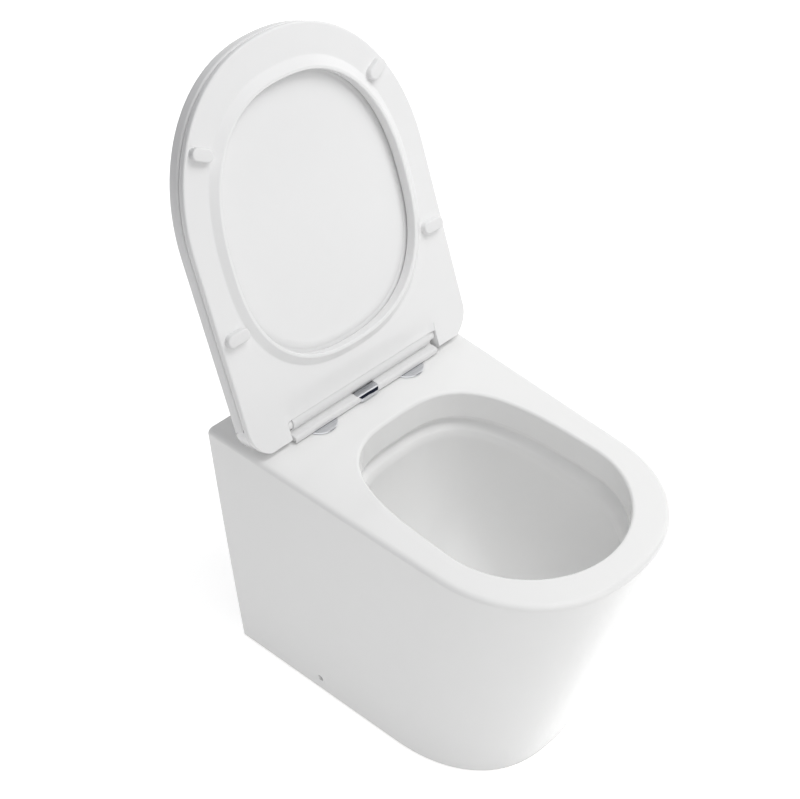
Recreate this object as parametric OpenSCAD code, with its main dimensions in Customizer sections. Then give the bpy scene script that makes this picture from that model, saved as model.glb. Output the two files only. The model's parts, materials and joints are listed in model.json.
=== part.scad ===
// Back-to-wall toilet pan with a lifting seat and lid, shown with both raised.
// Lengths are in millimetres. Inside the modules s is the distance in front of the
// rear face (y = -s), and zd is the height above the deck of the pan.

/* [Pan] */
// Length of the pan from its rear face to its front
pan_length = 540; // [520:5:560]
// Height of the deck, the flat top of the pan
deck_height = 405; // [395:1:420]
// Half the width of the deck at its rear end
deck_rear_half = 186.3; // [184:0.5:190]
// Half the width of the deck where its front curve starts
deck_side_half = 166.6; // [165:0.5:170]
// Length of the foot from the rear face to its front
foot_length = 439; // [420:1:460]
// Half the width of the foot at its rear end
foot_rear_half = 162.2; // [158:0.5:168]
// Half the width of the foot where its front curve starts
foot_side_half = 142.4; // [138:0.5:146]
// Outward swell of the skirt between foot and deck, as a share
skirt_swell = 0.16; // [0:0.02:0.24]
// Thickness of the skirt's ceramic
skirt_wall = 10; // [8:0.5:11]
// Thickness of the deck's ceramic
deck_wall = 14; // [12:0.5:16]
// Radius of the soft edge between deck and skirt
deck_edge_round = 8; // [4:0.5:9]

/* [Bowl] */
// Half the width of the bowl's mouth
mouth_half = 128.4; // [124:0.5:130]
// Distance from the rear face to the widest place of the mouth
mouth_centre = 369.7; // [362:0.5:372]
// Length of the mouth in front of its widest place
mouth_front = 128.4; // [120:0.5:130]
// Length of the mouth behind its widest place
mouth_rear = 217; // [208:0.5:219]
// Depth of the rim's upright inner wall
rim_depth = 42; // [36:0.5:46]
// How far the flushing channel reaches outward under the rim
channel_reach = 8; // [5:0.5:9]
// Height of the water's surface above the floor
water_height = 170; // [164:1:176]
// Half the width of the sump at the water's surface
sump_half = 55; // [50:0.5:60]
// Thickness of the bowl's ceramic
bowl_wall = 7; // [6:0.5:8]

/* [Trap and pipes] */
// Radius of the passage through the trap
passage_r = 28; // [26:0.5:29]
// Height of the waste outlet's centre above the floor
outlet_height = 185; // [182:0.5:188]
// Outer radius of the waste outlet
outlet_r = 51; // [49:0.5:54]
// Distance from the rear face to the mouth of the waste outlet
outlet_setback = 20; // [16:0.5:24]
// Radius of the socket for the flush pipe
inlet_r = 27.5; // [25:0.5:29]
// Depth of the socket for the flush pipe
inlet_depth = 36; // [30:0.5:40]
// Depth of the flush pipe's centre below the deck
inlet_drop = 68; // [66:0.5:72]

/* [Seat and lid] */
// Distance from the rear face to the front of the closed seat
seat_length = 542.5; // [530:0.5:548]
// Half the width of the seat at the rear
seat_rear_half = 189.7; // [188:0.5:192]
// Half the width of the seat where its front curve starts
seat_side_half = 186.1; // [184:0.5:189]
// Height of the seat's flat underside above the deck
seat_lift = 9; // [8.6:0.1:9.4]
// Thickness of the seat ring
seat_thickness = 11; // [10:0.1:11.4]
// Gap between the closed seat and the lid above it
lid_gap = 1.6; // [1.4:0.1:2]
// Thickness of the lid at its edge
lid_thickness = 18.6; // [17:0.1:20]
// Rise of the lid's top from its edge to its middle
lid_crown = 2.8; // [1:0.1:4]
// Half the width of the opening in the seat
opening_half = 141; // [136:0.5:143]
// Distance from the rear face to the middle of the opening
opening_centre = 298; // [292:0.5:302]
// Length of the opening in front of its middle
opening_front = 188; // [180:0.5:190]
// Length of the opening behind its middle
opening_rear = 153; // [146:0.5:156]
// Angle between the closed and the raised lid
open_angle = 108.9; // [104:0.1:110]

/* [Hinge] */
// Distance from the rear face to the hinge axis
hinge_s = 84.2; // [83.6:0.1:85]
// Height of the hinge axis above the deck
hinge_lift = 22.3; // [22.2:0.1:22.8]
// Half the length of the hinge bar
bar_half = 121; // [118:0.5:122]
// Radius of the hinge bar's barrel
barrel_r = 11; // [10.4:0.1:11]
// Width of a hinge lug on the lid or the seat
lug_width = 8.4; // [7:0.1:9]
// Radius of the hinge pins
pin_r = 4; // [3:0.1:4.5]
// Distance from the middle to each seat fixing post
post_x = 77.5; // [75:0.5:80]
// Travel of the release button
button_travel = 3; // [2.5:0.1:3]
// Half the width of the release button
button_half = 18; // [17:0.5:19]
// Radius of the round discs under the hinge bar
disc_r = 22.75; // [21:0.25:24]

/* [Fixings] */
// Distance from the rear face to the side fixing holes
side_hole_s = 156; // [150:1:162]
// Height of the side fixing holes above the floor
side_hole_z = 25; // [23:0.5:28]
// Radius of the side fixing holes
side_hole_r = 4.5; // [4.3:0.1:5]
// Radius of the seat fixing holes in the deck
deck_hole_r = 7.5; // [7.2:0.1:8]
// Radius of the seat fixing studs
stud_r = 4; // [3.5:0.1:4]

/* [Hidden] */

ceramic_white = [0.95, 0.95, 0.94];
plastic_white = [0.97, 0.97, 0.96];
chrome_grey = [0.72, 0.73, 0.76];
steel_grey = [0.6, 0.6, 0.62];
rubber_grey = [0.35, 0.35, 0.36];
nylon_white = [0.88, 0.88, 0.86];

// Points in a quarter of a ring, and how a rear quarter shares them out
quarter = 12;
side_steps = 4;
corner_steps = 4;
rear_steps = quarter - side_steps - corner_steps;
ring_points = 4 * quarter;
round_facets = 64;

// Gap between pieces, running fit of round pieces, and how far a cut runs past a face
slack = 0.3;
fit = 0.05;
over = 1;

// Outlines hold: rear half width, side half width, its distance, length,
// front exponent, side exponent, rear edge, rear corner radius
deck_outline = [deck_rear_half, deck_side_half, 381.4, pan_length, 2.19, 2.3, 0, 6];
foot_outline = [foot_rear_half, foot_side_half, 289.5, foot_length, 2.29, 2.56, 0, 6];
seat_tail = 21.4;
lid_tail = 16.2;
seat_back = hinge_s - seat_tail;
lid_back = hinge_s - lid_tail;
seat_outline = [seat_rear_half, seat_side_half, 332.5, seat_length, 2.08, 2.22, seat_back, 5];
lid_outline = [seat_rear_half, seat_side_half, 332.5, seat_length, 2.08, 2.22, lid_back, 5];

// Ovals hold: half width, centre, front length, rear length, front exponent, rear exponent
mouth = [mouth_half, mouth_centre, mouth_front, mouth_rear, 1.97, 3.14];
opening = [opening_half, opening_centre, opening_front, opening_rear, 2.35, 2.4];

// Rim, channel and shoulder of the bowl, as depths below the deck. The mouth's edge
// is a table of how far out and how far down, as shares of its rounding
mouth_round = 4;
mouth_edge = [[1, 0], [0.3, 0.3], [0, 1]];
channel_height = 12;
shoulder_depth = 68;
shoulder_fall = 16;
shoulder_inset = 5;
shoulder_lip = 7;
shoulder_share = 0.4;
lip_fall_share = 0.8;
rim_lip = 1;
bowl_extra = 2;
bowl_drop = 5;
foot_chamfer = 1.5;
rear_edge_share = 0.4;
skirt_steps = 4;
edge_steps = 3;
bowl_sweep = 65;
bowl_steps = 5;
mouth_back = mouth_centre - mouth_rear;
mouth_length = mouth_front + mouth_rear;

// Trap
trap_bend = 46;
crest_bend = 38;
water_seal = 50;
sump_angle = -90;
rise_angle = 45;
fall_angle = 25;
sump_s = 300;
outlet_wall = 8;
outlet_skin = 1;
outlet_overlap = 0.5;
throat_share = 0.6;
throat_inner = 0.5;
throat_outer = 0.55;
bend_step = 22.5;
crest_steps = 5;
cone_length = 13;
dip_z = water_height - water_seal;
bend_z = dip_z + trap_bend - passage_r;
bend_s = sump_s - trap_bend;
rise_start = [bend_s - trap_bend * sin(rise_angle), bend_z - trap_bend * cos(rise_angle)];
crest_z = water_height + passage_r - crest_bend;
rise_run = (crest_z + crest_bend * cos(rise_angle) - rise_start[1]) / tan(rise_angle);
crest_s = rise_start[0] - rise_run - crest_bend * sin(rise_angle);
fall_start = [crest_s - crest_bend * sin(fall_angle), crest_z + crest_bend * cos(fall_angle)];
level_drop = crest_bend * (1 - cos(fall_angle));
fall_run = (fall_start[1] - outlet_height - level_drop) / tan(fall_angle);
level_s = fall_start[0] - fall_run - crest_bend * sin(fall_angle);
cone_end_s = level_s - cone_length;

// Flush inlet
horn_wall = 8.5;
horn_r = inlet_r + horn_wall;
horn_mouth_s = 60;
horn_end_s = mouth_back - 2.7;
inlet_z = deck_height - inlet_drop;
chamber_r = 22;
slot_half = 42;
slot_length = 25;
slot_top = rim_depth + 3;
slot_bottom = rim_depth + channel_height + 4;

// Opening in the rear face of the skirt
rear_open_half = 138;
rear_open_room = 5.5;
rear_open_top = inlet_z + inlet_r + rear_open_room;
rear_open_depth = skirt_wall + 3;

// Seat and lid stack, as heights above the deck
seat_top = seat_lift + seat_thickness;
lid_under = seat_top + lid_gap;
lid_edge_top = lid_under + lid_thickness;
seat_edge_inset = 3.2;
lip_drop = 6;
bevel_width = 13.5;
bevel_front = 17;
lid_edge_inset = 5;
dome_drop = 3.6;

// Edge of the seat: inset as a share of seat_edge_inset, height as a share of the
// thickness; then the opening's edge above and below, as growth and depth in mm
seat_edge = [[1, 0], [0.25, 0.18], [0, 0.45], [0.3, 0.8], [1.3, 1]];
opening_top = [[5, 0], [1.2, 1.4], [0, 4]];
opening_lip = [[0, 2], [1.2, 0.5], [4, 0]];

// Underside of the lid: a shallow dome inside the opening, as growth of the opening or
// share of its size with a share of the drop; edge and crown of the lid the same way
panel_dome = [[0.2, 1], [0.55, 0.93]];
panel_inset = 14;
panel_edge = [[-panel_inset, 0.72], [-6, 0.4], [-3, 0]];
lid_edge = [[0.6, 0], [0.2, 0.18], [0, 0.6], [0.3, 0.85], [1, 1]];
lid_dome = [[0.7, 0.65], [0.35, 0.93], [0.15, 1]];
axis_z = deck_height + hinge_lift;

// Hinge bar and what turns on it
bar_lift = 2.7;
bar_step = 0.6;
bar_reach = 19.8;
bar_top = hinge_lift - barrel_r - bar_step;
bar_front_s = hinge_s + bar_reach;
bar_back_s = hinge_s - barrel_r;
bar_edge_round = 4;
cove_r = barrel_r + slack;
notch_half = bar_half + lug_width + 3 * slack;
seat_lip = 6.3;
lid_lip = 1.8;
seat_lip_s = hinge_s + seat_lip;
lid_lip_s = hinge_s + lid_lip;
lid_cove_r = barrel_r + 2 * slack;
trough_r = 60;
trough_depth = 2.6;
trough_ahead = 8.8;
trough_s = hinge_s + trough_ahead;
lug_r = 9;
lug_arm_back = 4;
lug_arm_low = 2;
lug_arm_reach = 25;
lug_arm_height = 5;
lid_lug_x = bar_half + slack;
seat_lug_x = notch_half;
seat_lug_width = 11;
ear_r = 21.9;
ear_step = 0.5;
ear_cove_r = ear_r + slack;
ear_end = side_width(seat_outline, hinge_s + ear_r) - ear_step;
ear_lid_s = hinge_s + sqrt(pow(ear_cove_r, 2) - pow(lid_edge_top - hinge_lift, 2));
damper_r = 8;
damper_length = 70;
damper_depth = 4;
damper_x = bar_half - damper_depth - damper_length;
pin_hold = 30;
pin_start = bar_half - pin_hold;
pin_end = seat_lug_x + seat_lug_width - over;

// Posts, discs and clamps
post_ahead = 9.8;
post_s = hinge_s + post_ahead;
post_r = 4.5;
neck_r = 3;
gasket_height = 0.6;
gasket_step = 1.75;
gasket_r = disc_r - gasket_step;
disc_height = 1.8;
disc_edge = 0.9;
post_room = 1.5;
post_top = bar_top - post_room;
stud_length = 58;
sleeve_gap = 0.2;
sleeve_short = 1;
sleeve_r = deck_hole_r - sleeve_gap;
sleeve_length = deck_wall - sleeve_short;
washer_r = 14;
washer_height = 3;
nut_r = 8;
nut_height = 9;
wing_reach = 17;
wing_width = 4;
wing_height = 6;

// Latches, button and spring inside the bar
latch_rise = 2.3;
latch_height = 3;
latch_start = 3.6;
latch_reach = 15.8;
latch_past_post = 9;
latch_low = bar_lift + latch_rise;
latch_back = hinge_s + latch_start;
latch_front = hinge_s + latch_reach;
latch_far = post_x + latch_past_post;
latch_side = 0.4;
groove_slack = 0.2;
tongue_start = 3.3;
tongue_reach = 11.8;
tongue_back = hinge_s + tongue_start;
tongue_front = hinge_s + tongue_reach;
channel_back = tongue_back - button_travel - slack;
button_start = 7.8;
button_proud = 2;
button_back = hinge_s + button_start;
button_front = bar_front_s + button_proud;
button_round = 6;
button_corner = 3;
spring_z = latch_low + latch_height / 2;
spring_r = 1.05;
spring_wire = 0.3;
spring_turns = 5;
spring_steps = 12;
spring_sides = 6;
spring_seat = 8;
spring_room = 1.6;

// Seat and lid buffers
buffer_width = 16;
buffer_gap = 0.3;
front_buffer = [137.5, 446.5, 28, 30];
rear_buffer = [164.5, 227, 0, 33];
lid_buffer_r = 5;
lid_buffer_places = [[165, 300], [120, 455]];

// Floor brackets and side screws
bracket_length = 46;
bracket_height = 44;
bracket_foot = 34;
bracket_wall = 6;
bracket_gap = 0.4;
floor_hole_r = 4.25;
floor_hole_in = 20;
screw_r = 2.9;
screw_head_r = side_hole_r - 0.2;
screw_head_height = 4;
screw_recess = 5;
screw_tip = 4;

// The whole part is centred on its box, which reaches back to the raised lid's tip
lid_tip_reach = (seat_length - lid_edge_inset - hinge_s) * -cos(open_angle)
    + (lid_edge_top - hinge_lift) * sin(open_angle) - hinge_s;
origin_shift = (pan_length - lid_tip_reach) / 2;

function blend(a, b, t) = a + (b - a) * t;

// Half width of an outline at a distance from the rear face
function side_width(o, s) = blend(o[0], o[1], s / o[2]);

// An outline brought inward by d, and by e at its rear edge
function inset(o, d, e) = [o[0] - d, o[1] - d, o[2], o[3] - d, o[4], o[5], o[6] + e, max(o[7] - e / 2, 1)];

// An oval made larger by d all round
function grow(v, d) = [v[0] + d, v[1], v[2] + d, v[3] + d, v[4], v[5]];

// Front quarter of an outline, from its side to its tip: powers of sine and cosine
function front_quarter(o) = [
    for (i = [0 : quarter])
        let (a = 90 * i / quarter, s = o[2] + (o[3] - o[2]) * pow(sin(a), 2 / o[4]))
        [side_width(o, s) * pow(cos(a), 2 / o[5]), s]
];

// Rear quarter of an outline: straight side, round corner, straight rear edge
function rear_quarter(o) =
    let (r = o[7], edge = o[6] + r, cx = side_width(o, edge) - r)
    concat(
        [for (i = [0 : side_steps]) let (s = blend(o[2], edge, i / side_steps)) [side_width(o, s), s]],
        [for (i = [1 : corner_steps]) let (a = 90 * i / corner_steps) [cx + r * cos(a), edge - r * sin(a)]],
        [for (i = [1 : rear_steps]) [cx * (1 - i / rear_steps), o[6]]]
    );

// Quarters of an oval, from its side to its end
function oval_quarter(v, length, power) = [
    for (i = [0 : quarter])
        let (a = 90 * i / quarter)
        [v[0] * pow(cos(a), 2 / power), v[1] + length * pow(sin(a), 2 / power)]
];

// A whole ring of points from its front and its rear quarter
function whole(f, r) = concat(
    [for (i = [0 : quarter - 1]) f[i]],
    [for (i = [0 : quarter - 1]) [-f[quarter - i][0], f[quarter - i][1]]],
    [for (i = [0 : quarter - 1]) [-r[i][0], r[i][1]]],
    [for (i = [0 : quarter - 1]) r[quarter - i]]
);

function outline_ring(o) = whole(front_quarter(o), rear_quarter(o));
function oval_ring(v) = whole(oval_quarter(v, v[2], v[4]), oval_quarter(v, -v[3], v[5]));

// A flat ring shrunk towards a place on the middle line
function shrink(ring, k, s) = [for (p = ring) [p[0] * k, s + (p[1] - s) * k]];

// A flat ring raised to a height, and one whose height falls towards the front
function at(ring, z) = [for (p = ring) [p[0], -p[1], z]];
function sloping(ring, z, fall) = [
    for (p = ring) [p[0], -p[1], z - fall * (p[1] - mouth_back) / mouth_length]
];

// A round ring across the trap's path: place [s, z], heading angle above the level
function pipe_ring(place, heading, r) = [
    for (i = [0 : ring_points - 1])
        let (a = 360 * i / ring_points, up = r * sin(a))
        [r * cos(a), -(place[0] - up * sin(heading)), place[1] - up * cos(heading)]
];

function bend_place(centre, r, heading) = centre - r * [sin(heading), cos(heading)];

// Triangles between rings that follow each other, the last joined to the first
function skin_faces(count, joined) = [
    for (j = [0 : count - (joined ? 1 : 2)], i = [0 : ring_points - 1])
        let (
            k = (j + 1) % count,
            m = (i + 1) % ring_points,
            a = j * ring_points + i, b = j * ring_points + m,
            c = k * ring_points + m, d = k * ring_points + i
        )
        each [[a, b, c], [a, c, d]]
];

module skin(rings) {
    polyhedron(points = [for (r = rings) each r], faces = skin_faces(len(rings), true), convexity = 12);
}

module capped_skin(rings) {
    last = (len(rings) - 1) * ring_points;
    polyhedron(
        points = [for (r = rings) each r],
        faces = concat(
            skin_faces(len(rings), false),
            [[for (i = [ring_points - 1 : -1 : 0]) i]],
            [[for (i = [0 : ring_points - 1]) last + i]]
        ),
        convexity = 10
    );
}

module placed() {
    translate([0, origin_shift, 0]) children();
}

// Turns a piece built in the closed pose to the raised pose
module raised() {
    placed()
        translate([0, -hinge_s, axis_z])
            rotate([-open_angle, 0, 0])
                translate([0, hinge_s, -axis_z])
                    children();
}

module at_deck(x, s, zd) {
    translate([x, -s, deck_height + zd]) children();
}

// A bar along X from x0 to x1 around a place on the hinge's side view
module along_x(x0, x1, r, s, z) {
    translate([x0, -s, z])
        rotate([0, 90, 0])
            cylinder(r = r, h = x1 - x0, $fn = round_facets);
}

// The same along Y, from distance s0 to s1
module along_y(x, s0, s1, r, z) {
    translate([x, -s0, z])
        rotate([90, 0, 0])
            cylinder(r = r, h = s1 - s0, $fn = round_facets);
}

// Extrudes a side view, drawn as [s, z], from x0 to x1
module side_view(x0, x1) {
    translate([x0, 0, 0])
        rotate([90, 0, 90])
            linear_extrude(height = x1 - x0)
                mirror([1, 0])
                    children();
}

module box(x0, x1, s0, s1, z0, z1) {
    translate([x0, -s1, z0]) cube([x1 - x0, s1 - s0, z1 - z0]);
}

module both_sides() {
    children();
    mirror([1, 0, 0]) children();
}

// Outline of the skirt at a height, from foot to deck
function skirt_at(z) =
    let (t = z / deck_height, k = t + skirt_swell * t * (1 - t))
    [for (i = [0 : 7]) blend(foot_outline[i], deck_outline[i], k)];

// Bowl below the shoulder: t runs from the shoulder to the water's surface
function bowl_share(t) = (cos(bowl_sweep * t) - cos(bowl_sweep)) / (1 - cos(bowl_sweep));
function bowl_oval(t, wall) =
    let (k = bowl_share(t))
    [
        blend(sump_half, mouth_half - shoulder_inset, k) + wall,
        blend(sump_s, mouth_centre, k),
        blend(sump_half, mouth_front - shoulder_inset, k) + wall,
        blend(sump_half, mouth_rear - shoulder_inset, k) + wall,
        blend(2, 1.97, k),
        blend(2, 3.14, k)
    ];
function bowl_ring(t, wall, drop) =
    let (
        d = sin(bowl_sweep * t) / sin(bowl_sweep),
        z = blend(deck_height - shoulder_depth, water_height, d)
    )
    sloping(oval_ring(bowl_oval(t, wall)), z - drop, shoulder_fall * (1 - d));

function throat_ring(share, wall) =
    let (r = blend(sump_half, passage_r, share) + wall)
    oval_ring([r, sump_s, r, r, 2, 2]);

// Path of the trap down the sump, up the rise, over the crest and out to the mouth
function trap_rings(wall, mouth_r) = concat(
    [
        for (h = [sump_angle : bend_step : rise_angle])
            pipe_ring(bend_place([bend_s, bend_z], trap_bend, h), h, passage_r + wall)
    ],
    [
        for (i = [0 : crest_steps])
            let (h = blend(rise_angle, -fall_angle, i / crest_steps))
            pipe_ring(bend_place([crest_s, crest_z], -crest_bend, h), h, passage_r + wall)
    ],
    [
        for (h = [-fall_angle, -fall_angle / 2, 0])
            pipe_ring(bend_place([level_s, outlet_height + crest_bend], crest_bend, h), h, passage_r + wall)
    ],
    [
        for (s = [cone_end_s, outlet_setback + 2 * outlet_skin])
            pipe_ring([s, outlet_height], 0, mouth_r)
    ]
);

// Inside of the bowl from the deck down to the outlet's mouth
function inner_rings() = concat(
    [
        for (e = mouth_edge)
            at(oval_ring(grow(mouth, mouth_round * e[0])), deck_height - mouth_round * e[1])
    ],
    [
        at(oval_ring(mouth), deck_height - rim_depth + rim_lip),
        at(oval_ring(grow(mouth, rim_lip)), deck_height - rim_depth),
        at(oval_ring(grow(mouth, channel_reach)), deck_height - rim_depth - rim_lip),
        at(oval_ring(grow(mouth, channel_reach)), deck_height - rim_depth - channel_height),
        sloping(
            oval_ring(grow(mouth, -shoulder_inset * shoulder_share)),
            deck_height - shoulder_depth + shoulder_lip, shoulder_fall * lip_fall_share
        )
    ],
    [for (i = [0 : bowl_steps]) bowl_ring(i / bowl_steps, 0, 0)],
    [at(throat_ring(throat_share, 0), blend(water_height, bend_z, throat_inner))],
    trap_rings(0, outlet_r - outlet_wall - outlet_skin)
);

// Outside of the bowl and trap, from under the deck to the outlet's mouth
function outer_rings() = concat(
    [
        at(oval_ring(grow(mouth, channel_reach + bowl_wall)), deck_height - deck_wall),
        at(oval_ring(grow(mouth, channel_reach + bowl_wall)), deck_height - slot_bottom + bowl_extra)
    ],
    [for (i = [0 : bowl_steps]) bowl_ring(i / bowl_steps, bowl_wall + bowl_extra, bowl_drop)],
    [at(throat_ring(throat_share, bowl_wall + bowl_extra / 2), blend(water_height, bend_z, throat_outer))],
    trap_rings(bowl_wall, outlet_r - outlet_skin)
);

// Skirt from the deck's underside down its inside, and from the floor up its outside
function skirt_inner(z) = at(outline_ring(inset(skirt_at(z), skirt_wall, skirt_wall)), z);
function skirt_outer(z, d) = at(outline_ring(inset(skirt_at(z), d, d * rear_edge_share)), z);
function skirt_rings() =
    let (under = deck_height - deck_wall, shoulder = deck_height - deck_edge_round)
    concat(
        [for (i = [skirt_steps : -1 : 0]) skirt_inner(under * i / skirt_steps)],
        [skirt_outer(0, foot_chamfer)],
        [for (i = [0 : skirt_steps]) skirt_outer(blend(foot_chamfer, shoulder, i / skirt_steps), 0)],
        [
            for (i = [1 : edge_steps])
                let (a = 90 * i / edge_steps)
                skirt_outer(shoulder + deck_edge_round * sin(a), deck_edge_round * (1 - cos(a)))
        ]
    );

function reversed(list) = [for (i = [len(list) - 1 : -1 : 0]) list[i]];

module ceramic_pan() {
    color(ceramic_white)
        placed()
            difference() {
                union() {
                    skin(concat(inner_rings(), reversed(outer_rings()), skirt_rings()));
                    along_y(0, horn_mouth_s, horn_end_s, horn_r, inlet_z);
                    along_y(0, outlet_setback, cone_end_s + outlet_overlap, outlet_r, outlet_height);
                }
                box(-rear_open_half, rear_open_half, -over, rear_open_depth, -over, rear_open_top);
                along_y(0, horn_mouth_s - over, horn_mouth_s + inlet_depth, inlet_r, inlet_z);
                along_y(0, horn_mouth_s + inlet_depth - over, horn_end_s - bowl_wall, chamber_r, inlet_z);
                along_y(
                    0, outlet_setback - over, cone_end_s + 2 * outlet_overlap,
                    outlet_r - outlet_wall, outlet_height
                );
                box(
                    -slot_half, slot_half, horn_end_s - slot_length, mouth_back + over,
                    deck_height - slot_bottom, deck_height - slot_top
                );
                both_sides() at_deck(post_x, post_s, -deck_wall - over)
                    cylinder(r = deck_hole_r, h = deck_wall + 2 * over, $fn = round_facets);
                along_x(-deck_rear_half, deck_rear_half, side_hole_r, side_hole_s, side_hole_z);
            }
}

// Hinge bar: a foot on the posts, a riser behind, and a barrel round the axis
module bar_section() {
    edge = bar_edge_round;
    union() {
        translate([bar_back_s, deck_height + bar_lift])
            square([bar_front_s - edge - bar_back_s, bar_top - bar_lift]);
        translate([bar_back_s, deck_height + bar_lift])
            square([bar_front_s - bar_back_s, bar_top - edge - bar_lift]);
        translate([bar_front_s - edge, deck_height + bar_top - edge])
            circle(r = edge, $fn = round_facets);
        translate([bar_back_s, deck_height + bar_lift])
            square([barrel_r, hinge_lift - bar_lift]);
        translate([hinge_s, axis_z])
            circle(r = barrel_r, $fn = round_facets);
    }
}

module hinge_bar() {
    color(plastic_white)
        placed()
            difference() {
                side_view(-bar_half, bar_half) bar_section();
                both_sides()
                    along_x(damper_x - slack, bar_half + over, damper_r + fit, hinge_s, axis_z);
                box(
                    -latch_far - button_travel - slack, latch_far + button_travel + slack,
                    channel_back, latch_front + slack,
                    deck_height + latch_low - slack, deck_height + latch_low + latch_height + slack
                );
                box(
                    -button_half - slack, button_half + slack, button_back - button_travel - slack,
                    bar_front_s + over, deck_height + bar_lift - over, deck_height + bar_top + slack
                );
                along_y(
                    0, channel_back - spring_seat, channel_back + over,
                    spring_r + spring_wire + slack, deck_height + spring_z
                );
                both_sides() at_deck(post_x, post_s, bar_lift - over)
                    cylinder(r = post_r + fit, h = post_top - bar_lift + over + slack, $fn = round_facets);
            }
}

module damper(side) {
    color(nylon_white)
        placed()
            mirror([side < 0 ? 1 : 0, 0, 0])
                difference() {
                    along_x(damper_x, damper_x + damper_length, damper_r, hinge_s, axis_z);
                    along_x(pin_start - slack, bar_half, pin_r + fit, hinge_s, axis_z);
                }
}

module hinge_pin(side) {
    color(steel_grey)
        raised()
            mirror([side < 0 ? 1 : 0, 0, 0])
                along_x(pin_start, pin_end, pin_r, hinge_s, axis_z);
}

module lid_damper() { damper(-1); }
module seat_damper() { damper(1); }
module lid_pin() { hinge_pin(-1); }
module seat_pin() { hinge_pin(1); }

// Post: a stud through the deck, with a grooved head that the latch holds
module post(side) {
    color(steel_grey)
        placed()
            at_deck(side * post_x, post_s, 0)
                difference() {
                    union() {
                        translate([0, 0, -stud_length])
                            cylinder(r = stud_r, h = stud_length + over, $fn = round_facets);
                        cylinder(r = post_r, h = post_top, $fn = round_facets);
                    }
                    translate([0, 0, latch_low - groove_slack])
                        difference() {
                            cylinder(
                                r = post_r + over, h = latch_height + 2 * groove_slack, $fn = round_facets
                            );
                            translate([0, 0, -over])
                                cylinder(r = neck_r, h = latch_height + 3 * over, $fn = round_facets);
                        }
                }
}

module washer_ring(side, zd, height, outer, inner) {
    placed()
        at_deck(side * post_x, post_s, zd)
            difference() {
                cylinder(r = outer, h = height, $fn = round_facets);
                translate([0, 0, -over]) cylinder(r = inner, h = height + 2 * over, $fn = round_facets);
            }
}

// Round chrome disc with its top edge rounded off
module base_disc(side) {
    color(chrome_grey)
        placed()
            at_deck(side * post_x, post_s, gasket_height)
                rotate_extrude($fn = round_facets)
                    polygon([
                        [post_r + fit, 0], [disc_r, 0], [disc_r, disc_height - disc_edge],
                        [disc_r - disc_edge, disc_height], [post_r + fit, disc_height]
                    ]);
}

module wing_nut(side) {
    color(nylon_white)
        placed()
            at_deck(side * post_x, post_s, -deck_wall - washer_height - nut_height)
                difference() {
                    union() {
                        cylinder(r = nut_r, h = nut_height, $fn = round_facets);
                        translate([-wing_reach, -wing_width / 2, 0])
                            cube([2 * wing_reach, wing_width, wing_height]);
                    }
                    translate([0, 0, -over])
                        cylinder(r = stud_r + fit, h = nut_height + 2 * over, $fn = round_facets);
                }
}

module left_post() { post(-1); }
module right_post() { post(1); }
module left_gasket() { color(rubber_grey) washer_ring(-1, 0, gasket_height, gasket_r, post_r + fit); }
module right_gasket() { color(rubber_grey) washer_ring(1, 0, gasket_height, gasket_r, post_r + fit); }
module left_sleeve() {
    color(rubber_grey) washer_ring(-1, -deck_wall, sleeve_length, sleeve_r, stud_r + fit);
}
module right_sleeve() {
    color(rubber_grey) washer_ring(1, -deck_wall, sleeve_length, sleeve_r, stud_r + fit);
}
module left_washer() {
    color(rubber_grey) washer_ring(-1, -deck_wall - washer_height, washer_height, washer_r, stud_r + fit);
}
module right_washer() {
    color(rubber_grey) washer_ring(1, -deck_wall - washer_height, washer_height, washer_r, stud_r + fit);
}
module left_wing_nut() { wing_nut(-1); }
module right_wing_nut() { wing_nut(1); }
module left_disc() { base_disc(-1); }
module right_disc() { base_disc(1); }

// Floor brackets stand inside the skirt and turn with its tapering side
side_taper = atan((foot_rear_half - foot_side_half) / foot_outline[2]);
side_wall_x = side_width(skirt_at(side_hole_z), side_hole_s);
foot_wall_x = side_width(skirt_at(0), side_hole_s) - skirt_wall / cos(side_taper);

module bracket(side) {
    face = foot_wall_x - bracket_gap;
    color(nylon_white)
        placed()
            mirror([side < 0 ? 1 : 0, 0, 0])
                difference() {
                    translate([face, -side_hole_s, 0])
                        rotate([0, 0, -side_taper])
                            union() {
                                translate([-bracket_wall, -bracket_length / 2, 0])
                                    cube([bracket_wall, bracket_length, bracket_height]);
                                translate([-bracket_foot, -bracket_length / 2, 0])
                                    cube([bracket_foot, bracket_length, bracket_wall]);
                            }
                    along_x(
                        face - bracket_foot, face + bracket_wall, screw_r + fit, side_hole_s, side_hole_z
                    );
                    translate([face - floor_hole_in, -side_hole_s, -over])
                        cylinder(r = floor_hole_r, h = bracket_wall + 2 * over, $fn = round_facets);
                }
}

module side_screws() {
    head_x = side_wall_x - screw_recess;
    color(steel_grey)
        placed()
            both_sides() {
                along_x(head_x - screw_head_height, head_x, screw_head_r, side_hole_s, side_hole_z);
                along_x(
                    foot_wall_x - bracket_gap - bracket_wall - screw_tip, head_x - screw_head_height,
                    screw_r, side_hole_s, side_hole_z
                );
            }
}

module left_bracket() { bracket(-1); }
module right_bracket() { bracket(1); }

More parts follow.
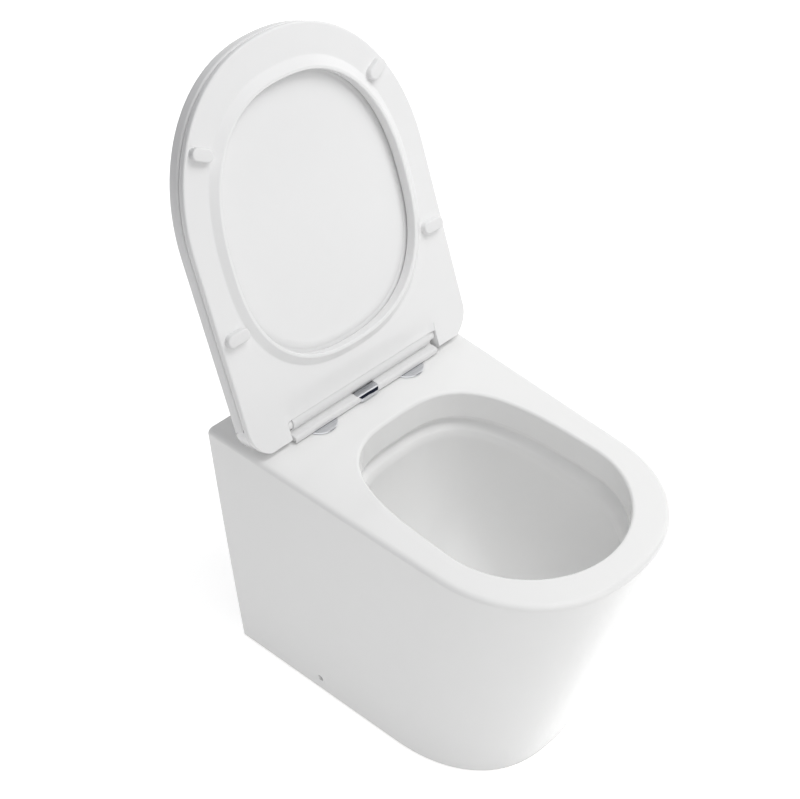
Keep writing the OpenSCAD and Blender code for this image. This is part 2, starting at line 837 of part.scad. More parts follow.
// Rings of the seat's section: outside, top, inner wall, hanging lip and bevel
function seat_ring_at(d, zd) = at(outline_ring(inset(seat_outline, d, 0)), deck_height + zd);
function opening_at(d, zd) = at(oval_ring(grow(opening, d)), deck_height + zd);
function bevel_at(zd) = at(
    oval_ring([
        opening_half + bevel_width, opening_centre, opening_front + bevel_front,
        opening_rear + bevel_width, 2.35, 2.4
    ]),
    deck_height + zd
);
function seat_rings() = concat(
    [for (e = seat_edge) seat_ring_at(seat_edge_inset * e[0], seat_lift + seat_thickness * e[1])],
    [for (e = opening_top) opening_at(e[0], seat_top - e[1])],
    [for (e = opening_lip) opening_at(e[0], seat_lift - lip_drop + e[1])],
    [bevel_at(seat_lift)]
);

module seat_ring() {
    color(plastic_white)
        raised()
            difference() {
                union() {
                    difference() {
                        skin(seat_rings());
                        box(
                            -notch_half, notch_half, 0, seat_lip_s,
                            deck_height, deck_height + lid_under
                        );
                        along_x(-notch_half, notch_half, cove_r, hinge_s, axis_z);
                        along_x(
                            -notch_half, notch_half, trough_r, trough_s,
                            deck_height + seat_lift + trough_depth - trough_r
                        );
                        behind_ears();
                    }
                    both_sides() side_view(seat_lug_x, ear_end) ear_section();
                }
                both_sides()
                    along_x(
                        seat_lug_x - over, seat_lug_x + seat_lug_width, pin_r + fit, hinge_s, axis_z
                    );
            }
}

// Side view of an ear: a round block about the hinge axis, as thick as seat and lid together
module ear_section() {
    intersection() {
        translate([hinge_s, axis_z]) circle(r = ear_r, $fn = round_facets);
        translate([hinge_s - ear_r, deck_height + seat_lift])
            square([2 * ear_r, lid_edge_top - seat_lift]);
    }
}

// Everything behind the hinge axis that lies beyond the ears
module behind_ears() {
    difference() {
        box(
            -seat_rear_half - over, seat_rear_half + over, 0, hinge_s,
            deck_height - over, deck_height + lid_edge_top
        );
        along_x(-seat_rear_half - 2 * over, seat_rear_half + 2 * over, ear_r - ear_step, hinge_s, axis_z);
    }
}

function lid_ring_at(d, zd) = at(outline_ring(inset(lid_outline, d, 0)), deck_height + zd);
function lid_dome_at(k, zd) = at(shrink(outline_ring(lid_outline), k, opening_centre), deck_height + zd);
function panel_dome_at(k, zd) =
    at(shrink(oval_ring(grow(opening, -panel_inset)), k, opening_centre), deck_height + zd);
function lid_rings() = concat(
    [for (e = panel_dome) panel_dome_at(e[0], lid_under - dome_drop * e[1])],
    [for (e = panel_edge) opening_at(e[0], lid_under - dome_drop * e[1])],
    [for (e = lid_edge) lid_ring_at(lid_edge_inset * e[0], lid_under + lid_thickness * e[1])],
    [for (e = lid_dome) lid_dome_at(e[0], lid_edge_top + lid_crown * e[1])]
);

// Room that the lid leaves for an ear of the seat, also while it turns
module ear_room() {
    box(
        notch_half - slack, seat_rear_half + over, 0, ear_lid_s,
        deck_height, deck_height + lid_edge_top + lid_crown + over
    );
    along_x(notch_half - slack, seat_rear_half + over, ear_cove_r, hinge_s, axis_z);
}

// Side view of a lug on the lid: an eye round the pin and an arm up to the lid
module lid_lug_section() {
    union() {
        translate([hinge_s, axis_z]) circle(r = lug_r, $fn = round_facets);
        translate([hinge_s - lug_arm_back, axis_z])
            square([lug_r + lug_arm_back, lid_edge_top - hinge_lift - lug_arm_low]);
        translate([hinge_s, axis_z + barrel_r - over]) square([lug_arm_reach, lug_arm_height]);
    }
}

module lid() {
    color(plastic_white)
        raised()
            difference() {
                union() {
                    difference() {
                        capped_skin(lid_rings());
                        box(
                            -notch_half, notch_half, 0, lid_lip_s,
                            deck_height, deck_height + lid_edge_top + lid_crown + over
                        );
                        along_x(-notch_half, notch_half, lid_cove_r, hinge_s, axis_z);
                        both_sides() ear_room();
                    }
                    both_sides() side_view(lid_lug_x, lid_lug_x + lug_width) lid_lug_section();
                }
                both_sides()
                    along_x(lid_lug_x - over, lid_lug_x + lug_width + over, pin_r + fit, hinge_s, axis_z);
            }
}

// A rubber pad with round ends, turned by an angle in plan
module buffer_pad(place) {
    length = place[3] - buffer_width;
    at_deck(place[0], place[1], buffer_gap)
        rotate([0, 0, -place[2]]) {
            translate([-length / 2, -buffer_width / 2, 0])
                cube([length, buffer_width, seat_lift - buffer_gap]);
            for (end = [-length / 2, length / 2])
                translate([end, 0, 0])
                    cylinder(r = buffer_width / 2, h = seat_lift - buffer_gap, $fn = round_facets);
        }
}

module seat_buffers() {
    color(plastic_white)
        raised()
            both_sides() {
                buffer_pad(front_buffer);
                buffer_pad(rear_buffer);
            }
}

module lid_buffers() {
    color(plastic_white)
        raised()
            both_sides()
                for (p = lid_buffer_places)
                    at_deck(p[0], p[1], seat_top + buffer_gap)
                        cylinder(r = lid_buffer_r, h = lid_gap - buffer_gap, $fn = round_facets);
}

// Release button: a rounded cap, slotted at the back for the latches, with a wedge in the
// slot that spreads them
module button_cap_section() {
    radius = button_round;
    union() {
        translate([button_back, deck_height + bar_lift])
            square([button_front - radius - button_back, bar_top - bar_lift]);
        translate([button_back, deck_height + bar_lift])
            square([button_front - button_back, bar_top - bar_lift - radius]);
        translate([button_front - radius, deck_height + bar_top - radius])
            circle(r = radius, $fn = round_facets);
    }
}

module button_plan() {
    c = button_corner;
    polygon([
        [-button_half, -button_back], [-button_half, c - button_front],
        [c - button_half, -button_front - over], [button_half - c, -button_front - over],
        [button_half, c - button_front], [button_half, -button_back]
    ]);
}

module release_button() {
    wedge = tongue_front - tongue_back;
    color(chrome_grey)
        placed()
            union() {
                difference() {
                    intersection() {
                        side_view(-button_half, button_half) button_cap_section();
                        translate([0, 0, deck_height]) linear_extrude(height = bar_top + over) button_plan();
                    }
                    box(
                        -button_half - over, button_half + over, button_back - over, tongue_front,
                        deck_height + latch_low - slack, deck_height + latch_low + latch_height + slack
                    );
                }
                translate([0, 0, deck_height + latch_low])
                    linear_extrude(height = latch_height)
                        polygon([
                            [-button_half, -tongue_front - over], [button_half, -tongue_front - over],
                            [button_half, -tongue_front], [button_half - wedge, -tongue_back],
                            [-button_half + wedge, -tongue_back], [-button_half, -tongue_front]
                        ]);
            }
}

// Latch: a plate with a slanted inner end and a slot round the post's groove
module latch(side) {
    wedge = tongue_front - latch_back;
    inner = button_half + latch_side;
    color(steel_grey)
        placed()
            mirror([side < 0 ? 1 : 0, 0, 0])
                translate([0, 0, deck_height + latch_low])
                    linear_extrude(height = latch_height)
                        difference() {
                            polygon([
                                [inner - wedge, -latch_back], [inner, -tongue_front], [inner, -latch_front],
                                [latch_far, -latch_front], [latch_far, -latch_back]
                            ]);
                            for (x = [post_x - button_travel, post_x + neck_r - post_r])
                                translate([x, -post_s]) circle(r = post_r + groove_slack, $fn = round_facets);
                            translate([post_x - button_travel, -post_s - post_r - groove_slack])
                                square([button_travel + neck_r - post_r, 2 * (post_r + groove_slack)]);
                        }
}

module left_latch() { latch(-1); }
module right_latch() { latch(1); }

// Spring behind the button: a tube swept along a helix whose axis runs front to rear
function spring_point(t) =
    let (a = 360 * spring_turns * t)
    [
        spring_r * cos(a),
        -blend(channel_back - spring_seat + spring_room, tongue_back - spring_wire - fit, t),
        deck_height + spring_z + spring_r * sin(a)
    ];

function unit(v) = v / norm(v);

module button_spring() {
    count = spring_turns * spring_steps;
    rings = [
        for (i = [0 : count])
            let (
                t = i / count,
                p = spring_point(t),
                along = unit(spring_point(t + 1 / count) - spring_point(t - 1 / count)),
                out = unit([p[0], 0, p[2] - deck_height - spring_z]),
                side = cross(along, out)
            )
            [for (k = [0 : spring_sides - 1])
                let (a = 360 * k / spring_sides)
                p + spring_wire * (cos(a) * out + sin(a) * side)]
    ];
    last = count * spring_sides;
    color(steel_grey)
        placed()
            polyhedron(
                points = [for (r = rings) each r],
                faces = concat(
                    [
                        for (j = [0 : count - 1], k = [0 : spring_sides - 1])
                            let (
                                a = j * spring_sides + k, b = j * spring_sides + (k + 1) % spring_sides,
                                c = b + spring_sides, d = a + spring_sides
                            )
                            each [[a, b, c], [a, c, d]]
                    ],
                    [[for (k = [spring_sides - 1 : -1 : 0]) k]],
                    [[for (k = [0 : spring_sides - 1]) last + k]]
                ),
                convexity = 10
            );
}

ceramic_pan();
hinge_bar();
lid_damper();
seat_damper();
left_post();
right_post();
left_gasket();
right_gasket();
left_sleeve();
right_sleeve();
left_washer();
right_washer();
left_wing_nut();
right_wing_nut();
left_bracket();
right_bracket();
side_screws();
button_spring();
lid();
lid_buffers();
lid_pin();
seat_ring();
seat_buffers();
seat_pin();
release_button();
left_latch();
right_latch();
left_disc();
right_disc();
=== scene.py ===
# %% [markdown]
# A back-to-wall toilet with its seat and lid raised.
#
# The CAD model gives every piece a place and a real size, and the pieces here are laid over
# it as finer surfaces with their finishes. Each step says what the piece is on the real
# object, how it could be made in Blender, and why it is made this way.

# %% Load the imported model
import json

import bpy
import numpy as np
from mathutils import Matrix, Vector


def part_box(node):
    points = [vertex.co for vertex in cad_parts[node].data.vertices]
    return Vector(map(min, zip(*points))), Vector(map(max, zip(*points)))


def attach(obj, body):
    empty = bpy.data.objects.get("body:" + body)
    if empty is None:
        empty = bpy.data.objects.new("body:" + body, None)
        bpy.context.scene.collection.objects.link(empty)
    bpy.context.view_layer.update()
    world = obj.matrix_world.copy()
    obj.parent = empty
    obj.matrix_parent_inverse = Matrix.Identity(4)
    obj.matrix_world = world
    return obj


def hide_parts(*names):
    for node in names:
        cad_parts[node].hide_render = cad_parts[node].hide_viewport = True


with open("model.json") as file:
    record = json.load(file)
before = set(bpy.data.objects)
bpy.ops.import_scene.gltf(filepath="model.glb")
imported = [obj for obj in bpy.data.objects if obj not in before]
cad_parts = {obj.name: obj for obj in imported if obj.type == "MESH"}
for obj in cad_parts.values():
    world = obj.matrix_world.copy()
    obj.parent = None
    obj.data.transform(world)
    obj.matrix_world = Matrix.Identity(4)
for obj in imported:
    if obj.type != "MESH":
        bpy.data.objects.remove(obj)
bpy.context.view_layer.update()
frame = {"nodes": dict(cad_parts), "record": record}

# %% [markdown]
# Sizes are written in millimetres, as on a drawing. s is the distance in front of the wall,
# and heights are above the floor. The wall's place, the deck's height, the hinge axis and how far
# seat and lid open are read from the CAD model, so the surfaces land where its solids are.

# %% Shared sizes
MM = 0.001
pan_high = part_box("ceramic_pan")[1]
SHIFT = pan_high[1] / MM
DECK = pan_high[2] / MM
lid_hinge = next(j for j in frame["record"]["behaviour"]["joints"] if j["name"] == "lid_hinge")
HINGE_S = SHIFT - lid_hinge["pos_m"][1] / MM
HINGE_Z = lid_hinge["pos_m"][2] / MM
OPEN = np.radians(lid_hinge["range_deg"][1])
print(f"deck {DECK:.1f} mm high, hinge axis at {HINGE_S:.1f} mm, {HINGE_Z:.1f} mm high")

# %% [markdown]
# The pan, the seat and the lid share one kind of outline: a wide bow in front, straight sides
# that spread a little towards the wall, and rounded rear corners. One function draws it for many
# heights at once, so a whole skirt comes out as one array. The number of steps in a quarter of a
# ring is a multiple of three, because the rear quarter has three parts.

# %% Outlines
QUARTER = 66
DECK_OUTLINE = np.array([186.3, 166.6, 381.4, 540.0, 2.19, 2.30, 0.0, 6.0])
FOOT_OUTLINE = np.array([162.2, 142.4, 289.5, 439.0, 2.29, 2.56, 0.0, 6.0])
SEAT_OUTLINE = np.array([189.7, 186.1, 332.5, 542.5, 2.08, 2.22, HINGE_S - 21.4, 40.0])
LID_OUTLINE = np.array([189.7, 186.1, 332.5, 542.5, 2.08, 2.22, HINGE_S - 16.2, 34.8])
QUARTER_ANGLES = np.linspace(0, np.pi / 2, QUARTER + 1)


def whole_rings(front, rear):
    """Joins quarters into rings: the front quarter, its mirror image, then the rear quarter's
    mirror image and the rear quarter backwards."""
    flip = np.array([-1.0, 1.0])
    return np.concatenate(
        [front[:, :-1], front[:, :0:-1] * flip, rear[:, :-1] * flip, rear[:, :0:-1]], axis=1
    )


def outline_rings(shapes):
    """Rings of [x, s] from rows of rear half width, side half width, its distance, length, front
    power, side power, rear edge and corner radius. Front: s grows as sin(a)^(2/n) and x as the
    side's width times cos(a)^(2/m). Rear: a straight side, a quarter circle and a straight edge."""
    rear_half, side_half, middle, length, n, m, edge, corner = np.atleast_2d(shapes).T[:, :, None]
    third = QUARTER // 3
    a = QUARTER_ANGLES[None, :]
    steps = np.linspace(0, 1, third + 1)[None, :]
    turn = steps[:, 1:] * np.pi / 2
    s_front = middle + (length - middle) * np.sin(a) ** (2 / n)
    width = lambda s: rear_half + (side_half - rear_half) * s / middle
    x_front = width(s_front) * np.abs(np.cos(a)) ** (2 / m)
    start = edge + corner
    centre = width(start) - corner
    s_side = middle + (start - middle) * steps
    x_rear = [width(s_side), centre + corner * np.cos(turn), centre * (1 - steps[:, 1:])]
    s_rear = [s_side, start - corner * np.sin(turn), edge + 0 * steps[:, 1:]]
    x_rear, s_rear = np.concatenate(x_rear, axis=1), np.concatenate(s_rear, axis=1)
    return whole_rings(np.stack([x_front, s_front], -1), np.stack([x_rear, s_rear], -1))


def inset(shapes, inward, rear_inward=0.0):
    """Rows of outlines brought inward by distances, and by others at the rear. One row is used
    again for each distance. The corners' radius shrinks by half the distance at the rear."""
    inward, rear_inward = np.reshape(inward, (-1, 1)), np.reshape(rear_inward, (-1, 1))
    rows = np.atleast_2d(shapes) + 0.0 * inward
    rows[:, [0, 1, 3]] -= inward
    rows[:, 6:7] += rear_inward
    rows[:, 7:8] = np.maximum(rows[:, 7:8] - rear_inward / 2, 1.0)
    return rows


print("points round each ring:", outline_rings(DECK_OUTLINE).shape[1])

# %% [markdown]
# The bowl's mouth and the opening in the seat are ovals: rounder than a box and squarer than an
# ellipse. The same powers of sine and cosine draw them, with one power in front and one behind.

# %% Ovals and heights
MOUTH = np.array([128.4, 369.7, 128.4, 217.0, 1.97, 3.14])
OPENING = np.array([141.0, 298.0, 188.0, 153.0, 2.35, 2.40])


def oval_rings(shapes):
    """Rings of [x, s] from rows of half width, centre, front length, rear length, front power and
    rear power: x is half times cos(a)^(2/n), and s is centre plus length times sin(a)^(2/n)."""
    half, centre, front, rear, n, m = np.atleast_2d(shapes).T[:, :, None]
    a = QUARTER_ANGLES[None, :]
    quarter = lambda length, power: np.stack(
        [half * np.abs(np.cos(a)) ** (2 / power), centre + length * np.sin(a) ** (2 / power)], -1
    )
    return whole_rings(quarter(front, n), quarter(-rear, m))


def grown(shape, outward, front_outward=None):
    """Rows of an oval made larger by an array of distances, and by another at its front."""
    outward = np.atleast_1d(outward).astype(float)
    rows = np.repeat(np.atleast_2d(shape), len(outward), axis=0)
    rows[:, [0, 3]] += outward[:, None]
    rows[:, 2] += outward if front_outward is None else front_outward
    return rows


def shrunk(rings, shares, s_middle):
    """Rings drawn towards a place on the middle line by an array of shares."""
    middle = np.array([0.0, s_middle])
    return middle + (rings - middle) * np.atleast_1d(shares)[:, None, None]


def at_height(rings, heights, fall=0.0):
    """Rings of [x, s] become rings of [x, y, z]. With a fall, a ring drops evenly from the back
    of the bowl's mouth to its front."""
    z = np.broadcast_to(np.atleast_1d(heights)[:, None], rings.shape[:2])
    slope = np.broadcast_to(np.atleast_1d(fall)[:, None], rings.shape[:2])
    run = (rings[..., 1] - (MOUTH[1] - MOUTH[3])) / (MOUTH[2] + MOUTH[3])
    return np.stack([rings[..., 0], -rings[..., 1], z - slope * run], -1)


print("mouth of the bowl: %.0f mm wide, %.0f mm long" % (2 * MOUTH[0], MOUTH[2] + MOUTH[3]))

# %% [markdown]
# No edge on the real object is sharp: glaze flows over corners, and moulds have radii. A profile
# is therefore drawn as a few straight lines, and one function replaces each corner by an arc
# that touches both lines. Two extra points just outside each arc keep the flat faces beside it
# flat in the shading, as holding loops do in modelling by hand.

# %% Rounded profiles
def rounded(points, radii, steps=7, hold=1.2):
    """An open polyline with arcs at its inner corners. Each arc starts r / tan(half angle) from
    the corner, and its points are a circular blend of the directions to its two ends."""
    p = np.array(points, dtype=float)
    r = np.array(radii, dtype=float)[:, None]
    back, ahead = p[:-2] - p[1:-1], p[2:] - p[1:-1]
    back_length = np.linalg.norm(back, axis=1, keepdims=True)
    ahead_length = np.linalg.norm(ahead, axis=1, keepdims=True)
    back, ahead = back / back_length, ahead / ahead_length
    half = np.arccos(np.clip((back * ahead).sum(1), -1, 1))[:, None] / 2
    cut = r / np.tan(half)
    middle = (back + ahead) / np.linalg.norm(back + ahead, axis=1, keepdims=True)
    centre = p[1:-1] + middle * r / np.sin(half)
    start, end = p[1:-1] + back * cut, p[1:-1] + ahead * cut
    to_start, to_end = (start - centre)[:, None], (end - centre)[:, None]
    sweep = (np.pi - 2 * half)[:, :, None]
    t = np.linspace(0, 1, steps + 1)[None, :, None]
    blend = np.sin((1 - t) * sweep) * to_start + np.sin(t * sweep) * to_end
    arcs = centre[:, None] + blend / np.sin(sweep)
    room_back = np.minimum(hold, (back_length - cut - np.vstack([[0], cut[:-1]])) / 3)
    room_ahead = np.minimum(hold, (ahead_length - cut - np.vstack([cut[1:], [0]])) / 3)
    before, after = (start + back * room_back)[:, None], (end + ahead * room_ahead)[:, None]
    arcs = np.concatenate([before, arcs, after], axis=1)
    return np.vstack([p[:1], arcs.reshape(-1, 2), p[-1:]])


print("points in a rounded right angle:", len(rounded([[0, 0], [10, 0], [10, 10]], [2])))

# %% [markdown]
# A surface on a grid needs faces between neighbouring rings. All pieces use the same function:
# the faces are worked out as one array of indices, the first and last ring are joined to each
# other for a closed loop of rings, or each is closed by a pole in its middle. A pole suits a dome
# or a disc. A flat end whose outline bends inwards gets one face instead, because the triangles
# round a pole would leave the outline.

# %% From rings to a mesh
def surface(rings, closed, flat_ends=False):
    """Points and faces of a skin over rings. Face (j, i) joins point i and i + 1 of ring j to the
    same points of ring j + 1. Without a closed loop, a pole or one face closes each end."""
    count, around = rings.shape[:2]
    j = np.arange(count if closed else count - 1)[:, None]
    i = np.arange(around)[None, :]
    after, beside = (j + 1) % count, (i + 1) % around
    corner = lambda row, column: (row * around + column).ravel()
    quads = np.stack([corner(j, i), corner(after, i), corner(after, beside), corner(j, beside)], 1)
    points = rings.reshape(-1, 3)
    if closed:
        return points, quads.tolist()
    last = (count - 1) * around
    if flat_ends:
        ends = [list(range(around)), list(range(last, last + around))[::-1]]
        return points, quads.tolist() + ends
    low, high = len(points), len(points) + 1
    first, second = i.ravel(), beside.ravel()
    start_fan = np.stack([first, second, np.full(around, low)], 1)
    end_fan = np.stack([last + second, last + first, np.full(around, high)], 1)
    points = np.vstack([points, rings[0].mean(0), rings[-1].mean(0)])
    return points, quads.tolist() + start_fan.tolist() + end_fan.tolist()


def make_object(name, points, faces):
    """A mesh object in metres, in the model's frame, with its place in its points."""
    mesh = bpy.data.meshes.new(name)
    mesh.from_pydata((np.asarray(points) * MM).tolist(), [], faces)
    mesh.update()
    made = bpy.data.objects.new(name, mesh)
    bpy.context.scene.collection.objects.link(made)
    return made


def put(points):
    """Points with y = -s moved to the model's frame, where y = 0 is under the pan's middle."""
    return points + np.array([0.0, SHIFT, 0.0])


def raised(points):
    """Points of the closed seat or lid turned back about the hinge axis to where they stand:
    y' = y cos a + z sin a and z' = z cos a - y sin a, measured from the axis."""
    y, z = points[..., 1] + HINGE_S, points[..., 2] - HINGE_Z
    c, s = np.cos(OPEN), np.sin(OPEN)
    return put(np.stack([points[..., 0], c * y + s * z - HINGE_S, c * z - s * y + HINGE_Z], -1))


# %% [markdown]
# Holes and notches are cut with Boolean modifiers, whose cutters are plain boxes and turned
# shapes. The modifier is applied at once, so that the finished piece is a plain mesh. Smooth
# shading is then kept apart only at edges that turn by more than a given angle.

# %% Cutting and finishing
def combine(piece, tools, operation):
    """Applies a Boolean of a piece with each tool in turn and removes the tools."""
    for tool in tools:
        modifier = piece.modifiers.new("shape", "BOOLEAN")
        modifier.operation = operation
        modifier.solver = "MANIFOLD"
        modifier.object = tool
        graph = bpy.context.evaluated_depsgraph_get()
        result = bpy.data.meshes.new_from_object(piece.evaluated_get(graph))
        piece.modifiers.clear()
        if len(result.polygons) == 0:
            raise RuntimeError(f"{piece.name}: nothing left after {tool.name}")
        old, piece.data = piece.data, result
        result.name = old.name
        bpy.data.meshes.remove(old)
        bpy.data.objects.remove(tool)
    return piece


def finish_piece(piece, body, material, *nodes, sharp=38.0):
    """Shades a piece smooth up to an angle, gives it its finish, and ties it to body and nodes."""
    mesh = piece.data
    mesh.polygons.foreach_set("use_smooth", np.ones(len(mesh.polygons), dtype=bool))
    mesh.set_sharp_from_angle(angle=np.radians(sharp))
    mesh.materials.clear()
    mesh.materials.append(material)
    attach(piece, body)
    if nodes:
        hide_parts(*nodes)
    size = " x ".join(f"{side / MM:.1f}" for side in piece.dimensions)
    print(f"{piece.name}: {len(mesh.polygons)} faces, {size} mm")


def box_tool(name, x, s, z, place=put):
    """A box between pairs of x, s and z, each pair with its smaller value first."""
    corners = np.array([[a, -b, c] for a in x for b in s[::-1] for c in z])
    faces = [[0, 1, 3, 2], [4, 6, 7, 5], [0, 4, 5, 1], [2, 3, 7, 6], [0, 2, 6, 4], [1, 5, 7, 3]]
    return make_object(name, place(corners), faces)


def prism(name, plan, z, place=put):
    """A plan of [x, s] carried straight up between two heights."""
    return make_object(name, *surface(place(at_height(np.stack([plan, plan]), z)), False))


def turned(name, profile, start, direction, place=put, around=96):
    """A profile of [distance, radius] turned about a line: each point goes round a circle whose
    plane is square to the line. The profile's two ends are closed by poles."""
    profile = np.array(profile, dtype=float)
    line = np.array(direction, dtype=float)
    first = np.array([0.0, 0.0, 1.0]) if abs(line[2]) < 0.5 else np.array([1.0, 0.0, 0.0])
    second = np.cross(line, first)
    angle = np.linspace(0, 2 * np.pi, around, endpoint=False)[None, :, None]
    circle = np.cos(angle) * first + np.sin(angle) * second
    rings = np.array(start) + profile[:, :1, None] * line + profile[:, 1:, None] * circle
    return make_object(name, *surface(place(rings)[:, ::-1], False))


# %% [markdown]
# ## Finishes
#
# Three effects are shared by several finishes, so each is a node group, built once and placed
# in the materials with its own values. The first gives a slow unevenness of tone, as in a glaze
# or a large moulding; the second a fine ripple for the surface's height; the third a mask that
# is 1 under a given height. Shaders stay in the materials.

# %% Node groups
def new_group(name, inputs, outputs):
    """A shader node group with named number inputs, each with its value, and named outputs."""
    group = bpy.data.node_groups.new(name, "ShaderNodeTree")
    for label, value in inputs:
        socket = group.interface.new_socket(label, in_out="INPUT", socket_type="NodeSocketFloat")
        socket.default_value = value
    for label in outputs:
        group.interface.new_socket(label, in_out="OUTPUT", socket_type="NodeSocketFloat")
    return group, group.nodes.new("NodeGroupInput"), group.nodes.new("NodeGroupOutput")


def add(tree, kind, **values):
    """A node with its properties set, and its inputs by name where they are not properties."""
    node = tree.nodes.new(kind)
    for key, value in values.items():
        if hasattr(node, key):
            setattr(node, key, value)
        else:
            node.inputs[key.replace("_", " ")].default_value = value
    return node


def unevenness_group():
    """Two noises of different size: 0.65 of the coarse one plus 0.35 of the fine one."""
    inputs = [("Scale", 6.0), ("Fine Scale", 40.0)]
    group, start, end = new_group("slow_unevenness", inputs, ["Tone"])
    coords = add(group, "ShaderNodeTexCoord")
    coarse = add(group, "ShaderNodeTexNoise", Detail=2.0)
    fine = add(group, "ShaderNodeTexNoise", Detail=3.0)
    mean = add(group, "ShaderNodeMath", operation="MULTIPLY_ADD")
    mean.inputs[1].default_value = 0.35
    share = add(group, "ShaderNodeMath", operation="MULTIPLY")
    share.inputs[1].default_value = 0.65
    for noise, label in ((coarse, "Scale"), (fine, "Fine Scale")):
        group.links.new(coords.outputs["Object"], noise.inputs["Vector"])
        group.links.new(start.outputs[label], noise.inputs["Scale"])
    group.links.new(coarse.outputs["Fac"], share.inputs[0])
    group.links.new(fine.outputs["Fac"], mean.inputs[0])
    group.links.new(share.outputs[0], mean.inputs[2])
    group.links.new(mean.outputs[0], end.inputs["Tone"])
    return group


def ripple_group():
    """A height from one smooth noise, as on glaze and moulded plastic."""
    group, start, end = new_group("fine_ripple", [("Scale", 250.0), ("Depth", 0.1)], ["Height"])
    coords = add(group, "ShaderNodeTexCoord")
    noise = add(group, "ShaderNodeTexNoise", Detail=1.0)
    depth = add(group, "ShaderNodeMath", operation="MULTIPLY")
    group.links.new(coords.outputs["Object"], noise.inputs["Vector"])
    group.links.new(start.outputs["Scale"], noise.inputs["Scale"])
    group.links.new(noise.outputs["Fac"], depth.inputs[0])
    group.links.new(start.outputs["Depth"], depth.inputs[1])
    group.links.new(depth.outputs[0], end.inputs["Height"])
    return group


def below_group():
    """1 below a height in metres and 0 above it, with a soft edge half a millimetre wide."""
    group, start, end = new_group("below_height", [("Height", 0.0015)], ["Mask"])
    coords = add(group, "ShaderNodeTexCoord")
    parts = add(group, "ShaderNodeSeparateXYZ")
    drop = add(group, "ShaderNodeMath", operation="SUBTRACT")
    mask = add(group, "ShaderNodeMath", operation="MULTIPLY", use_clamp=True)
    mask.inputs[1].default_value = 2000.0
    group.links.new(coords.outputs["Object"], parts.inputs[0])
    group.links.new(start.outputs["Height"], drop.inputs[0])
    group.links.new(parts.outputs["Z"], drop.inputs[1])
    group.links.new(drop.outputs[0], mask.inputs[0])
    group.links.new(mask.outputs[0], end.inputs["Mask"])
    return group


UNEVEN, RIPPLE, BELOW = unevenness_group(), ripple_group(), below_group()
print("node groups:", UNEVEN.name, RIPPLE.name, BELOW.name)

# %% [markdown]
# A finish here is a Principled shader whose colour and roughness wander between two close
# values, and whose normal carries a slight ripple. White ware has no grain, so most of what
# makes it look real is how its reflections waver: that is the ripple's work.

# %% A finish
def finish(name, tones, roughness, sizes, ripple, bump, **plain):
    """A material: two colours and two roughness values mixed by the unevenness group, and a bump
    from the ripple group. Values that are the same all over go straight onto the shader."""
    material = bpy.data.materials.new(name)
    material.use_nodes = True
    tree = material.node_tree
    shader = tree.nodes["Principled BSDF"]
    uneven = add(tree, "ShaderNodeGroup", node_tree=UNEVEN)
    uneven.inputs["Scale"].default_value, uneven.inputs["Fine Scale"].default_value = sizes
    colour = add(tree, "ShaderNodeMix", data_type="RGBA")
    colour.inputs["A"].default_value = (*tones[0], 1.0)
    colour.inputs["B"].default_value = (*tones[1], 1.0)
    spread = add(tree, "ShaderNodeMapRange")
    spread.inputs["To Min"].default_value, spread.inputs["To Max"].default_value = roughness
    waves = add(tree, "ShaderNodeGroup", node_tree=RIPPLE)
    waves.inputs["Scale"].default_value, waves.inputs["Depth"].default_value = ripple
    relief = add(tree, "ShaderNodeBump", Strength=bump, Distance=0.001)
    tree.links.new(uneven.outputs["Tone"], colour.inputs["Factor"])
    tree.links.new(uneven.outputs["Tone"], spread.inputs["Value"])
    tree.links.new(colour.outputs["Result"], shader.inputs["Base Color"])
    tree.links.new(spread.outputs["Result"], shader.inputs["Roughness"])
    tree.links.new(waves.outputs["Height"], relief.inputs["Height"])
    tree.links.new(relief.outputs["Normal"], shader.inputs["Normal"])
    for label, value in plain.items():
        shader.inputs[label.replace("_", " ")].default_value = value
    return material


plastic = finish(
    "white moulded plastic", [(0.87, 0.87, 0.87), (0.90, 0.90, 0.90)], (0.16, 0.24),
    (5.0, 60.0), (420.0, 0.25), 0.06, IOR=1.5
)
# The hinge bar's plastic is the seat's white made a little darker: the darker tone is painted
# shade, for the shade that seat and lid cast on the bar.
bar_plastic_painted_shade = finish(
    "satin plastic with painted shade", [(0.80, 0.80, 0.80), (0.83, 0.83, 0.83)], (0.26, 0.34),
    (9.0, 90.0), (900.0, 0.25), 0.08, IOR=1.5
)
soft_pad = finish(
    "soft white pad", [(0.83, 0.83, 0.83), (0.87, 0.87, 0.87)], (0.42, 0.55),
    (20.0, 200.0), (1500.0, 0.3), 0.1, IOR=1.45
)
nylon = finish(
    "natural nylon", [(0.66, 0.65, 0.62), (0.73, 0.72, 0.69)], (0.45, 0.6),
    (18.0, 160.0), (1200.0, 0.4), 0.2, IOR=1.5
)
rubber = finish(
    "grey rubber", [(0.09, 0.09, 0.095), (0.13, 0.13, 0.135)], (0.6, 0.78),
    (25.0, 220.0), (1600.0, 0.5), 0.25, IOR=1.5
)
steel = finish(
    "turned steel", [(0.52, 0.52, 0.53), (0.62, 0.62, 0.63)], (0.22, 0.36),
    (40.0, 400.0), (2200.0, 0.4), 0.15, Metallic=1.0
)
chrome = finish(
    "polished chrome", [(0.72, 0.73, 0.76), (0.80, 0.81, 0.83)], (0.04, 0.09),
    (30.0, 300.0), (700.0, 0.1), 0.03, Metallic=1.0
)

# %% [markdown]
# The ceramic is fired with a clear hard glaze, so it gets a coat of its own. The foot's
# underside stays bare where the pan stood in the kiln: there the colour turns to biscuit and the
# surface rough, by the height mask.

